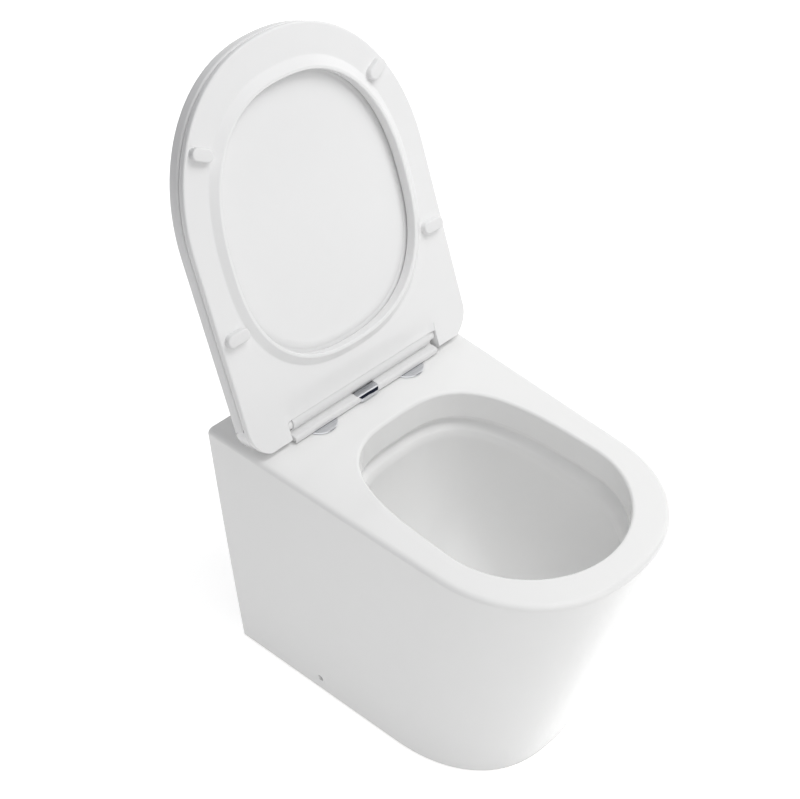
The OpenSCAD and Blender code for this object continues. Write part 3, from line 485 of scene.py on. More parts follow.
# %% The glaze
glaze = finish(
    "white glaze", [(0.89, 0.89, 0.885), (0.92, 0.92, 0.915)], (0.10, 0.17),
    (4.0, 30.0), (90.0, 0.5), 0.05, IOR=1.52, Coat_Weight=0.4, Coat_Roughness=0.06
)
tree = glaze.node_tree
shader = tree.nodes["Principled BSDF"]
bare = add(tree, "ShaderNodeGroup", node_tree=BELOW)
for label, value in (("Base Color", (0.62, 0.57, 0.50, 1.0)), ("Roughness", 0.85)):
    mix = add(tree, "ShaderNodeMix", data_type="RGBA" if label == "Base Color" else "FLOAT")
    glazed = shader.inputs[label].links[0].from_socket
    first = next(s for s in mix.inputs if s.name == "A" and s.enabled)
    second = next(s for s in mix.inputs if s.name == "B" and s.enabled)
    result = next(s for s in mix.outputs if s.enabled)
    factor = next(s for s in mix.inputs if s.name == "Factor" and s.enabled)
    second.default_value = value
    tree.links.new(bare.outputs["Mask"], factor)
    tree.links.new(glazed, first)
    tree.links.new(result, shader.inputs[label])
print("finishes:", [m.name for m in bpy.data.materials])

# %% [markdown]
# ## The pan
#
# On the real object the pan is one casting: bowl, rim, deck, skirt, trap, waste outlet and flush
# socket are fired together. It could be sculpted, or built from patches, but its shape is really
# one long section carried round: from the deck over the rim into the bowl, down through the trap
# to the outlet, back along the outside of trap and bowl, down the inside of the skirt, up its
# outside and back to the deck. So it is one closed grid of rings.
#
# The rim's profile gives, for each corner, how far it lies outside the mouth and below the deck:
# over the rim, down its face, out into the channel that carries the flush, and in to the bowl's
# shoulder. The shoulder lies lower in front than behind, by a fall that starts in the channel.

# %% Rim, channel and bowl
CHANNEL_HIGH, CHANNEL_LOW, LEDGE, SHOULDER, SHOULDER_IN, FALL = 42.0, 54.0, 61.0, 68.0, 5.0, 16.0
WATER, SUMP_HALF, SUMP_S, SWEEP = 170.0, 55.0, 300.0, np.radians(65.0)
THROAT_R, THROAT_Z = 28.0, 138.0
rim_profile = rounded([
    [12, 0], [0, 0], [0, CHANNEL_HIGH], [8, CHANNEL_HIGH + 0.6], [8, CHANNEL_LOW], [-2, LEDGE],
    [-SHOULDER_IN, SHOULDER]
], [4, 1.3, 2.0, 3.0, 5.0])


def bowl_rings(t, wall=0.0, drop=0.0):
    """The bowl below its shoulder. t runs from 0 at the shoulder to 1 at the water. The height
    falls as sin(sweep t), and the oval shrinks and moves as cos(sweep t), so the wall starts
    upright and ends at a slope, like an arc of an ellipse."""
    depth = (np.sin(SWEEP * t) / np.sin(SWEEP))[:, None]
    share = ((np.cos(SWEEP * t) - np.cos(SWEEP)) / (1 - np.cos(SWEEP)))[:, None]
    low = np.array([[SUMP_HALF, SUMP_S, SUMP_HALF, SUMP_HALF, 2.0, 2.0]])
    high = grown(MOUTH, -SHOULDER_IN)
    shapes = low + (high - low) * share
    shapes[:, [0, 2, 3]] += wall
    heights = (DECK - SHOULDER) + (WATER - DECK + SHOULDER) * depth[:, 0]
    return at_height(oval_rings(shapes), heights - drop, FALL * (1 - depth[:, 0]))


def throat_rings(t, wall=0.0):
    """From the water's edge down into the trap. Radius and height are cubic curves in t, each a
    sum of its two end values and two end slopes times the four Hermite polynomials. They leave
    the bowl at its slope, [-30, -20], and enter the round passage straight down, at [0, -36]."""
    first, first_slope = 2 * t**3 - 3 * t**2 + 1, t**3 - 2 * t**2 + t
    last, last_slope = 3 * t**2 - 2 * t**3, t**3 - t**2
    radius = SUMP_HALF * first - 30.0 * first_slope + THROAT_R * last + wall
    height = WATER * first - 20.0 * first_slope + THROAT_Z * last - 36.0 * last_slope
    same = np.ones_like(t)
    circles = np.stack([radius, SUMP_S * same, radius, radius, 2 * same, 2 * same], 1)
    return at_height(oval_rings(circles), height)


rim_fall = FALL * np.interp(rim_profile[:, 1], [CHANNEL_LOW, LEDGE, SHOULDER], [0.0, 0.8, 1.0])
rim = at_height(oval_rings(grown(MOUTH, rim_profile[:, 0])), DECK - rim_profile[:, 1], rim_fall)
bowl = bowl_rings(np.linspace(0, 1, 40)[1:])
throat = throat_rings(np.linspace(0, 1, 9)[1:-1])
print("rings: rim", len(rim), "bowl", len(bowl), "throat", len(throat))

# %% [markdown]
# The trap is a round passage on a bent line: down from the sump, up over a crest that holds the
# water back, and out level to the waste pipe. Its rings are circles square to that line. The line
# is three arcs joined by straight runs at two angles, and each arc's centre follows from the run
# that leads to it. Past the last arc the passage widens in a cone to the outlet.

# %% Trap and outlet
BEND, CREST, RISE, DESCENT = 46.0, 38.0, np.radians(45.0), np.radians(25.0)
OUTLET_Z, OUTLET_MOUTH, OUTLET_R, OUTLET_WALL, CONE = 185.0, 20.0, 51.0, 8.0, 13.0
DECK_WALL, RIM_WALL = 14.0, 15.0
bend_s = SUMP_S - BEND
crest_z = WATER + THROAT_R - CREST
rise_s, rise_z = bend_s - BEND * np.sin(RISE), THROAT_Z - BEND * np.cos(RISE)
crest_s = rise_s - (crest_z + CREST * np.cos(RISE) - rise_z) / np.tan(RISE) - CREST * np.sin(RISE)
fall_s, fall_z = crest_s - CREST * np.sin(DESCENT), crest_z + CREST * np.cos(DESCENT)
fall_left = fall_z - OUTLET_Z - CREST * (1 - np.cos(DESCENT))
level_s = fall_s - fall_left / np.tan(DESCENT) - CREST * np.sin(DESCENT)
cone_s = level_s - CONE


def pipe_rings(s, z, heading, radius):
    """Circles square to a line in the middle plane that heads up by an angle as it runs back."""
    s, z, heading, radius = (np.reshape(v, (-1, 1)) for v in (s, z, heading, radius))
    a = np.linspace(0, 2 * np.pi, 4 * QUARTER, endpoint=False)[None, :]
    up = radius * np.sin(a)
    return np.stack([radius * np.cos(a), -(s - up * np.sin(heading)), z - up * np.cos(heading)], -1)


def trap_rings(wall):
    """The passage from the sump to where it is level, as circles round three bends."""
    bend = np.linspace(-np.pi / 2, RISE, 13)
    crest = np.linspace(RISE, -DESCENT, 9)
    level = np.linspace(-DESCENT, 0, 4)
    s = [bend_s - BEND * np.sin(bend), crest_s + CREST * np.sin(crest)]
    z = [THROAT_Z - BEND * np.cos(bend), crest_z + CREST * np.cos(crest)]
    s = np.concatenate([*s, level_s - CREST * np.sin(level)])
    z = np.concatenate([*z, OUTLET_Z + CREST - CREST * np.cos(level)])
    heading = np.concatenate([bend, crest, level])
    return pipe_rings(s, z, heading, np.full(len(heading), THROAT_R + wall))


def mouth_rings(s, radius):
    """Upright circles round the outlet's axis."""
    return pipe_rings(s, [OUTLET_Z] * len(s), [0] * len(s), radius)


inner_mouth = mouth_rings([cone_s, OUTLET_MOUTH], [OUTLET_R - OUTLET_WALL] * 2)
outer_mouth = mouth_rings(
    [cone_s + 0.5, cone_s + 0.5, OUTLET_MOUTH], [OUTLET_R - 1.5, OUTLET_R, OUTLET_R]
)
inside = np.concatenate([rim, bowl, throat, trap_rings(0.0), inner_mouth])
outside = np.concatenate([
    at_height(oval_rings(grown(MOUTH, [RIM_WALL] * 3)), DECK - np.array([DECK_WALL, 30.0, 56.0])),
    bowl_rings(np.linspace(0, 1, 20), wall=9.0, drop=5.0),
    throat_rings(np.array([0.55]), wall=8.0),
    trap_rings(wall=7.0),
    outer_mouth,
])
print("trap's crest %.0f mm from the wall, outlet level from %.0f mm" % (crest_s, level_s))

# %% [markdown]
# The skirt's outline changes steadily from foot to deck, with a slight swell on the way, and
# turns over into the deck by a soft edge.

# %% Skirt and deck
def skirt_shapes(z):
    """Outlines between foot and deck. The deck's share is t plus a swell of 0.16 t (1 - t)."""
    t = np.atleast_1d(z) / DECK
    share = (t + 0.16 * t * (1 - t))[:, None]
    return FOOT_OUTLINE + (DECK_OUTLINE - FOOT_OUTLINE) * share


def skirt_rings(z, inward, rear_inward):
    """Rings of the skirt at heights, brought inward."""
    return at_height(outline_rings(inset(skirt_shapes(z), inward, rear_inward)), z)


SKIRT_WALL, EDGE, REAR_EDGE, FOOT_EDGE = 10.0, 8.0, 3.2, 1.5
inner_z = np.linspace(DECK - DECK_WALL, 0, 9)
outer_z = np.linspace(FOOT_EDGE, DECK - EDGE, 30)
outer_z = np.insert(outer_z, [1, len(outer_z) - 1], [4.0, DECK - EDGE - 2.0])
edge_turn = np.linspace(0, np.pi / 2, 10)[1:]
edge_z, edge_share = DECK - EDGE + EDGE * np.sin(edge_turn), 1 - np.cos(edge_turn)
skirt = np.concatenate([
    skirt_rings(inner_z, SKIRT_WALL, SKIRT_WALL),
    skirt_rings(np.array([0.0]), FOOT_EDGE, 0.6),
    skirt_rings(outer_z, 0.0, 0.0),
    skirt_rings(edge_z, EDGE * edge_share, REAR_EDGE * edge_share),
    skirt_rings(np.array([DECK]), EDGE + 2.0, REAR_EDGE + 2.0),
])
pan = make_object("pan", *surface(put(np.concatenate([inside, outside[::-1], skirt])), True))
print("pan:", len(pan.data.polygons), "faces before its openings are cut")

# %% [markdown]
# The openings are cut as a maker of plaster moulds would core them: the large opening at the back,
# the socket for the flush pipe with its chamber, the slot from the chamber into the rim, the two
# holes for the seat's studs and the two side holes for the fixing screws. The side holes' mouths
# flare by a small radius, because glaze never stops at a sharp edge.

# %% Openings of the pan
MOUTH_REAR, REAR_HALF = MOUTH[1] - MOUTH[3], 138.0
INLET_Z, INLET_R, INLET_DEEP, CHAMBER_R = DECK - 68.0, 27.5, 36.0, 22.0
HORN_S, HORN_END, HORN_R = 60.0, MOUTH_REAR - 9.0, INLET_R + 8.5
SIDE_S, SIDE_Z, SIDE_R, FLARE = 156.0, 25.0, 4.5, 1.4
POST_X, POST_S, DECK_HOLE_R = 77.5, HINGE_S + 9.8, 7.5
inlet, horn_long = (0, -HORN_S, INLET_Z), HORN_END - HORN_S
horn_profile = [[0, 0.5], [0, HORN_R], [horn_long, HORN_R], [horn_long, 0.5]]
horn = turned("horn", rounded(horn_profile, [1.5, 0.5]), inlet, (0, -1, 0))
socket_profile = [
    [-1, INLET_R], [INLET_DEEP, INLET_R], [INLET_DEEP, CHAMBER_R], [horn_long - 7, CHAMBER_R]
]
side_wall = skirt_shapes(SIDE_Z)[0]
side_x = side_wall[0] + (side_wall[1] - side_wall[0]) * SIDE_S / side_wall[2]
flare_turn = np.linspace(0, np.pi / 2, 8)
flare = np.array([side_x - FLARE, SIDE_R + FLARE]) + FLARE * np.stack(
    [np.sin(flare_turn), -np.cos(flare_turn)], 1
)
side_profile = np.vstack([[side_x - 30, SIDE_R], flare, [side_x + 5, SIDE_R + FLARE]])
tools = [
    box_tool("rear", (-REAR_HALF, REAR_HALF), (-1, SKIRT_WALL + 3), (-1, INLET_Z + INLET_R + 5.5)),
    turned("socket", socket_profile, inlet, (0, -1, 0)),
    box_tool("slot", (-42, 42), (HORN_END - 25, MOUTH_REAR + 1), (DECK - 50.5, DECK - 44)),
]
for side in (-1, 1):
    under_post = (side * POST_X, -POST_S, DECK - DECK_WALL - 1)
    tools.append(turned("deck_hole", [[-1, DECK_HOLE_R], [16, DECK_HOLE_R]], under_post, (0, 0, 1)))
    tools.append(turned("side_hole", side_profile, (0, -SIDE_S, SIDE_Z), (side, 0, 0)))
combine(pan, [horn], "UNION")
combine(pan, tools, "DIFFERENCE")
finish_piece(pan, "fixed_parts", glaze, "ceramic_pan")

# %% [markdown]
# ## The seat ring
#
# The seat is pressed from hard plastic: a flat ring with a soft outer edge, an opening whose rim
# turns down into a hanging lip, and a slope from the lip back up to the flat underside, which
# carries the buffers. It could be a curve with a bevel profile, but the section changes round
# the ring, where the slope is wider in front, so it is again a closed grid of rings. It is drawn
# lying shut and then turned back.

# %% Seat ring
SEAT_LOW, SEAT_HIGH, NOTCH = 9.0, 20.0, 130.3
LIP, LIP_WIDE, SLOPE_WIDE, FRONT_EXTRA = 3.0, 4.0, 9.5, 3.5
seat_edge = rounded([
    [14, SEAT_LOW], [0.5, SEAT_LOW], [0, 14], [0.9, SEAT_HIGH], [14, SEAT_HIGH]
], [2.6, 12.0, 3.4])
seat_bore = rounded([
    [14, SEAT_HIGH], [0, SEAT_HIGH], [0, LIP], [LIP_WIDE, LIP], [LIP_WIDE + SLOPE_WIDE, SEAT_LOW],
    [24, SEAT_LOW]
], [3.6, 1.7, 1.6, 3.5])
along_slope = np.clip(seat_bore[:, 0] - LIP_WIDE, 0, SLOPE_WIDE) / SLOPE_WIDE
front_bore = seat_bore[:, 0] + FRONT_EXTRA * along_slope * (seat_bore[:, 1] <= SEAT_LOW + 1)
outer = outline_rings(inset(SEAT_OUTLINE, seat_edge[:, 0]))
bore = oval_rings(grown(OPENING, seat_bore[:, 0], front_bore))


def dished(rings, depth=2.6, reach=29.0):
    """Rings of the flat underside, hollowed towards the hinge bar: the height rises by the depth
    times two smooth steps. One runs from the reach in front of the notch to the notch, and one
    over 13 mm at each end of the notch. A smooth step is u^2 (3 - 2u), with u from 0 to 1."""
    smooth = lambda u: np.clip(u, 0, 1) ** 2 * (3 - 2 * np.clip(u, 0, 1))
    ahead = (HINGE_S + 8.8 + reach + rings[..., 1]) / reach
    inside = (NOTCH + 4.0 - np.abs(rings[..., 0])) / 13.0
    return rings + np.array([0.0, 0.0, 1.0]) * (depth * smooth(ahead) * smooth(inside))[..., None]


between = np.linspace(0, 1, 22)[1:-1, None, None]
flat_rings = at_height(bore[-1] + (outer[0] - bore[-1]) * between, [DECK + SEAT_LOW] * len(between))
edge_rings = at_height(outer, DECK + seat_edge[:, 1])
bore_rings = at_height(bore, DECK + seat_bore[:, 1])
seat_rings = np.concatenate([edge_rings, bore_rings, dished(flat_rings)])
seat = make_object("seat", *surface(raised(seat_rings), True))
print("seat ring:", len(seat.data.polygons), "faces")

# %% [markdown]
# Seat and lid hang on pieces whose side view is simple: a disc, an arm, a bar. Such a piece is a
# closed section carried straight across the toilet, so one function makes them all. A Bevel
# modifier may soften it before it is joined to the rest.

# %% Sections carried across
def rod(name, x0, x1, radius, s=HINGE_S, z=HINGE_Z, place=raised, around=128):
    """A round bar along X between two places, with its axis at s and z."""
    low, high = sorted((x0, x1))
    return turned(name, [[low, radius], [high, radius]], (0, -s, z), (1, 0, 0), place, around)


def rods(name, x0, x1, radius, place=raised):
    """A rod on the hinge axis on each side of the middle."""
    return [rod(name, side * x0, side * x1, radius, place=place) for side in (-1, 1)]


def arc(centre, radius, start, end, steps=24):
    """Points [s, z] on a circle from one angle to another, in degrees, with 0 pointing forward."""
    a = np.radians(np.linspace(start, end, steps))
    return np.array(centre) + radius * np.stack([np.cos(a), np.sin(a)], 1)


def extruded(name, section, x0, x1, place=put, end_round=0.0, steps=5):
    """A closed section of [s, z] carried along X, with one face on each end. With an end radius,
    the section draws in along its own normals by r (1 - cos a) while it lies r (1 - sin a) in
    from the end, which rounds both ends."""
    section = np.array(section, dtype=float)
    along = np.roll(section, -1, 0) - np.roll(section, 1, 0)
    across = np.stack([along[:, 1], -along[:, 0]], 1) / np.linalg.norm(along, axis=1, keepdims=True)
    after = np.roll(section, -1, 0)
    area = np.sum(section[:, 0] * after[:, 1] - section[:, 1] * after[:, 0])
    turn = np.linspace(np.pi / 2, 0, steps) if end_round else np.zeros(1)
    draw, run = end_round * (1 - np.cos(turn)), end_round * (1 - np.sin(turn))
    low, high = sorted((x0, x1))
    x = np.concatenate([low + run, high - run[::-1]])[:, None]
    drawn = section - np.concatenate([draw, draw[::-1]])[:, None, None] * across * np.sign(area)
    rings = np.stack([x + 0 * drawn[..., 0], -drawn[..., 0], drawn[..., 1]], -1)
    return make_object(name, *surface(place(rings if area > 0 else rings[:, ::-1]), False, True))


def softened(piece, width, segments=3):
    """A Bevel modifier on the edges that turn by more than 30 degrees."""
    modifier = piece.modifiers.new("soft_edge", "BEVEL")
    modifier.width, modifier.segments = width * MM, segments
    modifier.limit_method, modifier.angle_limit = "ANGLE", np.radians(30)
    return piece


# %% [markdown]
# The ring's rear is cut back for the hinge bar and hollowed round the bar's barrel. On each side
# of the bar the seat swells into an ear, a block round the hinge axis as thick as seat and lid
# together, which holds the hinge pin. Its round back lets it turn close over the deck, and it is
# trimmed to the ring's own outline, a little inside it, before its edges are softened.

# %% Notch and ears of the seat
LID_LOW, LID_HIGH = 21.6, 40.2
BARREL, PIN_HOLE_R, EAR_R = 11.0, 4.05, 21.9
BEYOND_SEAT, ABOVE_LID = 195.0, DECK + 60.0
HUB = (HINGE_S, HINGE_Z)
ear_heights = DECK + np.array([SEAT_LOW, LID_HIGH])
low_angle, top_angle = np.degrees(np.arcsin((ear_heights - HINGE_Z) / EAR_R))
ear_front = arc(HUB, EAR_R, low_angle, top_angle, 32)
ear_back = arc(HUB, EAR_R, 180 - top_angle, 180 - low_angle, 32)
across = (-BEYOND_SEAT, BEYOND_SEAT)
behind = box_tool("behind", across, (0, HINGE_S), (DECK - 10, ABOVE_LID), raised)
back_round = rod("behind_round", -BEYOND_SEAT - 1, BEYOND_SEAT + 1, EAR_R - 0.5, around=256)
combine(behind, [back_round], "DIFFERENCE")
combine(seat, [
    box_tool("notch", (-NOTCH, NOTCH), (0, HINGE_S + 6.3), (DECK, DECK + LID_LOW), raised),
    rod("cove", -NOTCH, NOTCH, BARREL + 0.3),
    behind,
], "DIFFERENCE")
ears = []
for side in (-1, 1):
    trim = prism("trim", outline_rings(inset(SEAT_OUTLINE, 1.6))[0], (DECK - 20, ABOVE_LID), raised)
    block = extruded("ear", np.vstack([ear_front, ear_back]), side * NOTCH, side * 191.0, raised)
    ears.append(softened(combine(block, [trim], "INTERSECT"), 3.2, 4))
combine(seat, ears, "UNION")
combine(seat, rods("pin_hole", NOTCH - 1, NOTCH + 11, PIN_HOLE_R), "DIFFERENCE")
finish_piece(seat, "seat", plastic, "seat_ring")

# %% [markdown]
# ## The lid
#
# The lid is the same outline once more, a little thicker, with a gently crowned top and, on its
# underside, a shallow cushion that fills the seat's opening when both are shut. Its rings run
# from the middle of the underside out to the edge and back to the middle of the top.

# %% Lid
CROWN, CUSHION, DOME, CUSHION_IN, BORDER = 2.8, 3.6, 0.28, 14.0, 11.0
cushion_shares = np.linspace(0.04, 1, 14)
cushion = at_height(
    shrunk(oval_rings(grown(OPENING, -CUSHION_IN)), cushion_shares, OPENING[1]),
    DECK + LID_LOW - CUSHION * (1 - DOME * cushion_shares**2.3)
)
border_share = np.linspace(0, 1, 9)[1:]
border = at_height(
    oval_rings(grown(OPENING, BORDER * border_share - CUSHION_IN)),
    DECK + LID_LOW - CUSHION * (1 - DOME) * np.cos(border_share * np.pi / 2) ** 0.8
)
flat = at_height(oval_rings(grown(OPENING, [-2.0, 2.0])), [DECK + LID_LOW] * 2)
lid_edge = rounded([
    [14, LID_LOW], [0.6, LID_LOW], [0, LID_LOW + 10.5], [0.9, LID_HIGH], [12, LID_HIGH]
], [3.2, 20.0, 4.8])
edge = at_height(outline_rings(inset(LID_OUTLINE, lid_edge[:, 0])), DECK + lid_edge[:, 1])
crown_shares = np.linspace(0.93, 0.03, 16)
crown = at_height(
    shrunk(outline_rings(LID_OUTLINE), crown_shares, OPENING[1]),
    DECK + LID_HIGH + CROWN * (1 - crown_shares**2.8)
)
lid_rings = np.concatenate([cushion, border, flat, edge, crown])
lid = make_object("lid_shell", *surface(raised(lid_rings), False))
print("lid:", len(lid.data.polygons), "faces")

# %% [markdown]
# The lid's rear is cut away round the hinge bar and round the seat's ears, with the same small
# gap everywhere, and two arms reach from it to the pins between bar and ears.

# %% Notch and arms of the lid
ARM_R, ARM_REACH, ARM_IN, ARM_OUT = 9.0, 25.0, 121.3, 129.7
arm_top = DECK + LID_HIGH - 2 - HINGE_Z
arm = np.vstack([arc(HUB, ARM_R, 180, 360, 40), np.array(HUB) + [
    [ARM_R, BARREL - 1], [ARM_REACH, BARREL - 1], [ARM_REACH, BARREL + 4], [ARM_R, arm_top],
    [-4, arm_top], [-ARM_R, 4]
]])
ROOM = EAR_R + 0.3
room_front = HINGE_S + np.sqrt(ROOM**2 - (DECK + LID_HIGH - HINGE_Z) ** 2)
cuts = [
    box_tool("lid_notch", (-NOTCH, NOTCH), (0, HINGE_S + 1.8), (DECK, ABOVE_LID), raised),
    rod("lid_cove", -NOTCH, NOTCH, BARREL + 0.6),
]
for side in (-1, 1):
    reach = sorted((side * (NOTCH - 0.3), side * BEYOND_SEAT))
    cuts.append(box_tool("ear_room", reach, (0, room_front), (DECK, ABOVE_LID), raised))
    cuts.append(rod("ear_cove", *reach, ROOM, around=256))
combine(lid, cuts, "DIFFERENCE")
arms = [extruded("arm", arm, side * ARM_IN, side * ARM_OUT, raised) for side in (-1, 1)]
combine(lid, arms, "UNION")
combine(lid, rods("lid_pin_hole", ARM_IN - 1, ARM_OUT + 1, PIN_HOLE_R), "DIFFERENCE")
finish_piece(lid, "lid", plastic, "lid")

# %% [markdown]
# ## Buffers
#
# Four soft pads under the seat land on the deck, and four small round ones under the lid land on
# the seat. A pad is an oblong with round ends, so it is a set of rings of that outline whose
# edge turns over by a quarter circle.

# %% Pads
def pad_rings(length, width, low, high, edge_round, around=24):
    """Rings of an oblong with round ends, from its top to its foot at the ring: the outline is
    two half circles, drawn in by r (1 - cos a) as the height falls by r sin a."""
    half_turn = np.linspace(-np.pi / 2, np.pi / 2, around)
    turn = np.concatenate([half_turn, half_turn + np.pi])
    shift_x = np.concatenate([np.full(around, 1.0), np.full(around, -1.0)]) * (length - width) / 2
    a = np.linspace(0, np.pi / 2, 7)
    draw = np.concatenate([edge_round * (1 - np.sin(a)), [0.0]])
    height = np.concatenate([low + edge_round * (1 - np.cos(a)), [high]])
    radius = width / 2 - draw[:, None]
    return np.stack([
        shift_x[None, :] + radius * np.cos(turn), radius * np.sin(turn),
        np.broadcast_to(height[:, None], (len(draw), len(turn)))
    ], -1)


def pad(name, x, s, angle, length, width, low, high, edge_round):
    """A pad turned by an angle in plan and set at a place under the closed seat or lid."""
    rings = pad_rings(length, width, low, high, edge_round)
    c, d = np.cos(np.radians(-angle)), np.sin(np.radians(-angle))
    px, py = rings[..., 0], rings[..., 1]
    rings = np.stack([x + c * px - d * py, -s + d * px + c * py, rings[..., 2]], -1)
    if x < 0:
        rings = rings[:, ::-1]
    return make_object(name, *surface(raised(rings)[:, ::-1], False))


SEAT_PAD = (16.0, DECK + 0.3, DECK + SEAT_LOW + 0.2, 2.2)
LID_PAD = (10.001, 10.0, DECK + SEAT_HIGH + 0.3, DECK + LID_LOW + 0.2, 0.8)
PADS = [
    ("seat", "front", 137.5, 446.5, 28.0, (30.0, *SEAT_PAD)),
    ("seat", "rear", 164.5, 227.0, 0.0, (33.0, *SEAT_PAD)),
    ("lid", "rear", 165.0, 300.0, 0.0, LID_PAD),
    ("lid", "front", 120.0, 455.0, 0.0, LID_PAD),
]
for body, label, x, s, angle, shape in PADS:
    for side, sign in (("left", -1), ("right", 1)):
        made = pad(f"{body}_pad_{label}_{side}", sign * x, s, sign * angle, *shape)
        replaced = [f"{body}_buffers"] if (label, side) == ("front", "right") else []
        finish_piece(made, body, soft_pad, *replaced)

# %% [markdown]
# ## The hinge bar, its button and its discs
#
# The bar is one moulding: a low foot over the two posts, a wall behind it and a round barrel that
# holds the dampers. Each is a section carried along a line with its ends rounded, and a Boolean
# joins them. The foot runs on past the barrel at both ends, on a web that is hollowed to leave
# room for the lid's arms. The button's seat is the button's own plan, a little larger all round.

# %% Hinge bar
BAR_LOW, BAR_HIGH, BAR_FRONT = DECK + 2.7, HINGE_Z - BARREL - 0.6, HINGE_S + 19.8
BAR_HALF, FOOT_HALF, END_ROUND, ARM_ROOM = 121.0, NOTCH - 4.0, 0.9, 10.4
POST_HOLE_R, BORE_IN, BORE_R, LATCH_HALF = 4.55, 46.7, 8.05, 89.8
LATCH_BAND = (DECK + 4.7, DECK + 8.3)
BUTTON_HALF, BUTTON_FRONT, CORNER, GAP = 18.0, BAR_FRONT + 2.0, 8.0, 0.3
bar = extruded("bar", arc(HUB, BARREL, -180, 175, 71), -BAR_HALF, BAR_HALF, put, END_ROUND)
wall = np.array([[-BARREL, BAR_LOW], [0, BAR_LOW], [0, HINGE_Z], [-BARREL, HINGE_Z]]) + [HINGE_S, 0]
foot = rounded([
    [HINGE_S, BAR_LOW], [BAR_FRONT, BAR_LOW], [BAR_FRONT, BAR_HIGH], [HINGE_S, BAR_HIGH]
], [0.8, 3.8], hold=0.8)
web_x, web_z = (-FOOT_HALF + 0.7, FOOT_HALF - 0.7), (BAR_HIGH - 1, HINGE_Z - 8.6)
combine(bar, [
    extruded("wall", wall, -BAR_HALF, BAR_HALF, put, END_ROUND),
    extruded("foot", foot, -FOOT_HALF, FOOT_HALF, put, 2.0),
    box_tool("web", web_x, (HINGE_S - 6, HINGE_S + 5.8), web_z),
], "UNION")
combine(bar, rods("cradle", BAR_HALF, FOOT_HALF + 1, ARM_ROOM, put), "DIFFERENCE")


def button_plan(outward, back):
    """The button's plan made larger: straight sides, and front corners of one radius."""
    half, front, r = BUTTON_HALF + outward, BUTTON_FRONT + outward, CORNER + outward
    corner = arc((half - r, front - r), r, 0, 90, 12)
    return np.vstack([corner, corner[::-1] * (-1, 1), [[-half, back], [half, back]]])


def post_eye(name, side, z, depth):
    """A cutter for the hole that a post passes through."""
    hole = [[-1, POST_HOLE_R], [depth, POST_HOLE_R]]
    return turned(name, hole, (side * POST_X, -POST_S, z), (0, 0, 1))


combine(bar, [
    *rods("bore", BORE_IN, BAR_HALF + 1, BORE_R, put),
    box_tool("latch_channel", (-LATCH_HALF, LATCH_HALF), (HINGE_S, HINGE_S + 16.1), LATCH_BAND),
    prism("button_seat", button_plan(GAP, HINGE_S + 4.5), (DECK + 1, BAR_HIGH + GAP)),
    *[post_eye("post_hole", side, BAR_LOW, 7) for side in (-1, 1)],
], "DIFFERENCE")
# The bar's plastic is darker by painted shade, not by a colour of its own.
finish_piece(bar, "fixed_parts", bar_plastic_painted_shade, "hinge_bar")

# %% [markdown]
# The button is a chromed cap with a large front radius in its side view, and its corners are
# rounded in plan, so the section carried across is cut down to a prism of that plan. Behind it a
# flat tongue, which stays hidden, spreads the latches, so cap and tongue move as one piece.

# %% Release button
button_back, tongue_front, tongue_back = HINGE_S + 7.8, HINGE_S + 11.8, HINGE_S + 3.3
half_way = [button_back, BAR_LOW + 4]
cap = rounded([
    half_way, [button_back, BAR_LOW], [BUTTON_FRONT, BAR_LOW], [BUTTON_FRONT, BAR_HIGH],
    [button_back, BAR_HIGH], half_way
], [0.4, 0.6, 7.0, 0.6], hold=0.4)[:-1]
past_button = (-BUTTON_HALF - 1, BUTTON_HALF + 1)
button = extruded("button_cap", cap, *past_button)
combine(button, [prism("plan", button_plan(0.0, button_back - 5), (DECK, DECK + 20))], "INTERSECT")
slot = box_tool("latch_slot", past_button, (button_back - 1, tongue_front), LATCH_BAND)
combine(button, [slot], "DIFFERENCE")
wide, narrow = BUTTON_HALF - 2.5, BUTTON_HALF - (tongue_front - tongue_back)
tongue_plan = np.array([
    [-wide, tongue_front + 1], [wide, tongue_front + 1], [wide, tongue_front - 2.5],
    [narrow, tongue_back], [-narrow, tongue_back], [-wide, tongue_front - 2.5]
])
combine(button, [prism("tongue", tongue_plan, (LATCH_BAND[0] + GAP, LATCH_BAND[1] - GAP))], "UNION")
finish_piece(button, "button", chrome, "release_button", sharp=30.0)

# %% [markdown]
# Each disc is turned: a flat chromed plate round the post, with its edge rolled over.

# %% Discs
DISC_R, DISC_THICK, DISC_LOW = 22.75, 1.8, DECK + 0.6
disc_profile = rounded([
    [0, POST_HOLE_R], [0, DISC_R], [DISC_THICK, DISC_R], [DISC_THICK, POST_HOLE_R]
], [0.2, 1.1], hold=0.4)
for side, label in ((-1, "left"), (1, "right")):
    plate = turned(f"disc_{label}", disc_profile, (side * POST_X, -POST_S, DISC_LOW), (0, 0, 1))
    combine(plate, [post_eye("eye", side, DISC_LOW, 4)], "DIFFERENCE")
    finish_piece(plate, f"disc_{label}", chrome, f"{label}_disc", sharp=30.0)

# %% [markdown]
# ## Pieces that keep their CAD shape
#
# Posts, pins, nuts, washers, dampers, latches, brackets and screws are already exact in the CAD
# model and mostly hidden. They keep their shape and get a finish of their own.

# %% Finishes of the carried-over pieces
KEPT = {
    steel: "left_post right_post side_screws button_spring lid_pin seat_pin left_latch right_latch",
    nylon: "lid_damper seat_damper left_wing_nut right_wing_nut left_bracket right_bracket",
    rubber: "left_gasket right_gasket left_sleeve right_sleeve left_washer right_washer",
}
for material, names in KEPT.items():
    for name in names.split():
        node = frame["nodes"][name]
        node.data.materials.clear()
        node.data.materials.append(material)
print("carried over:", sum(len(names.split()) for names in KEPT.values()), "pieces")

# %% [markdown]
# ## Floor, light and camera
#
# The object stands in a white studio. Floor and world are white to the camera, to gloss and to
# glass, by the kind of ray that meets them. The light that they give the object is calmer, so
# that white ware keeps its shading. The floor's own light is only added to what it reflects, so
# it keeps the object's shadow.

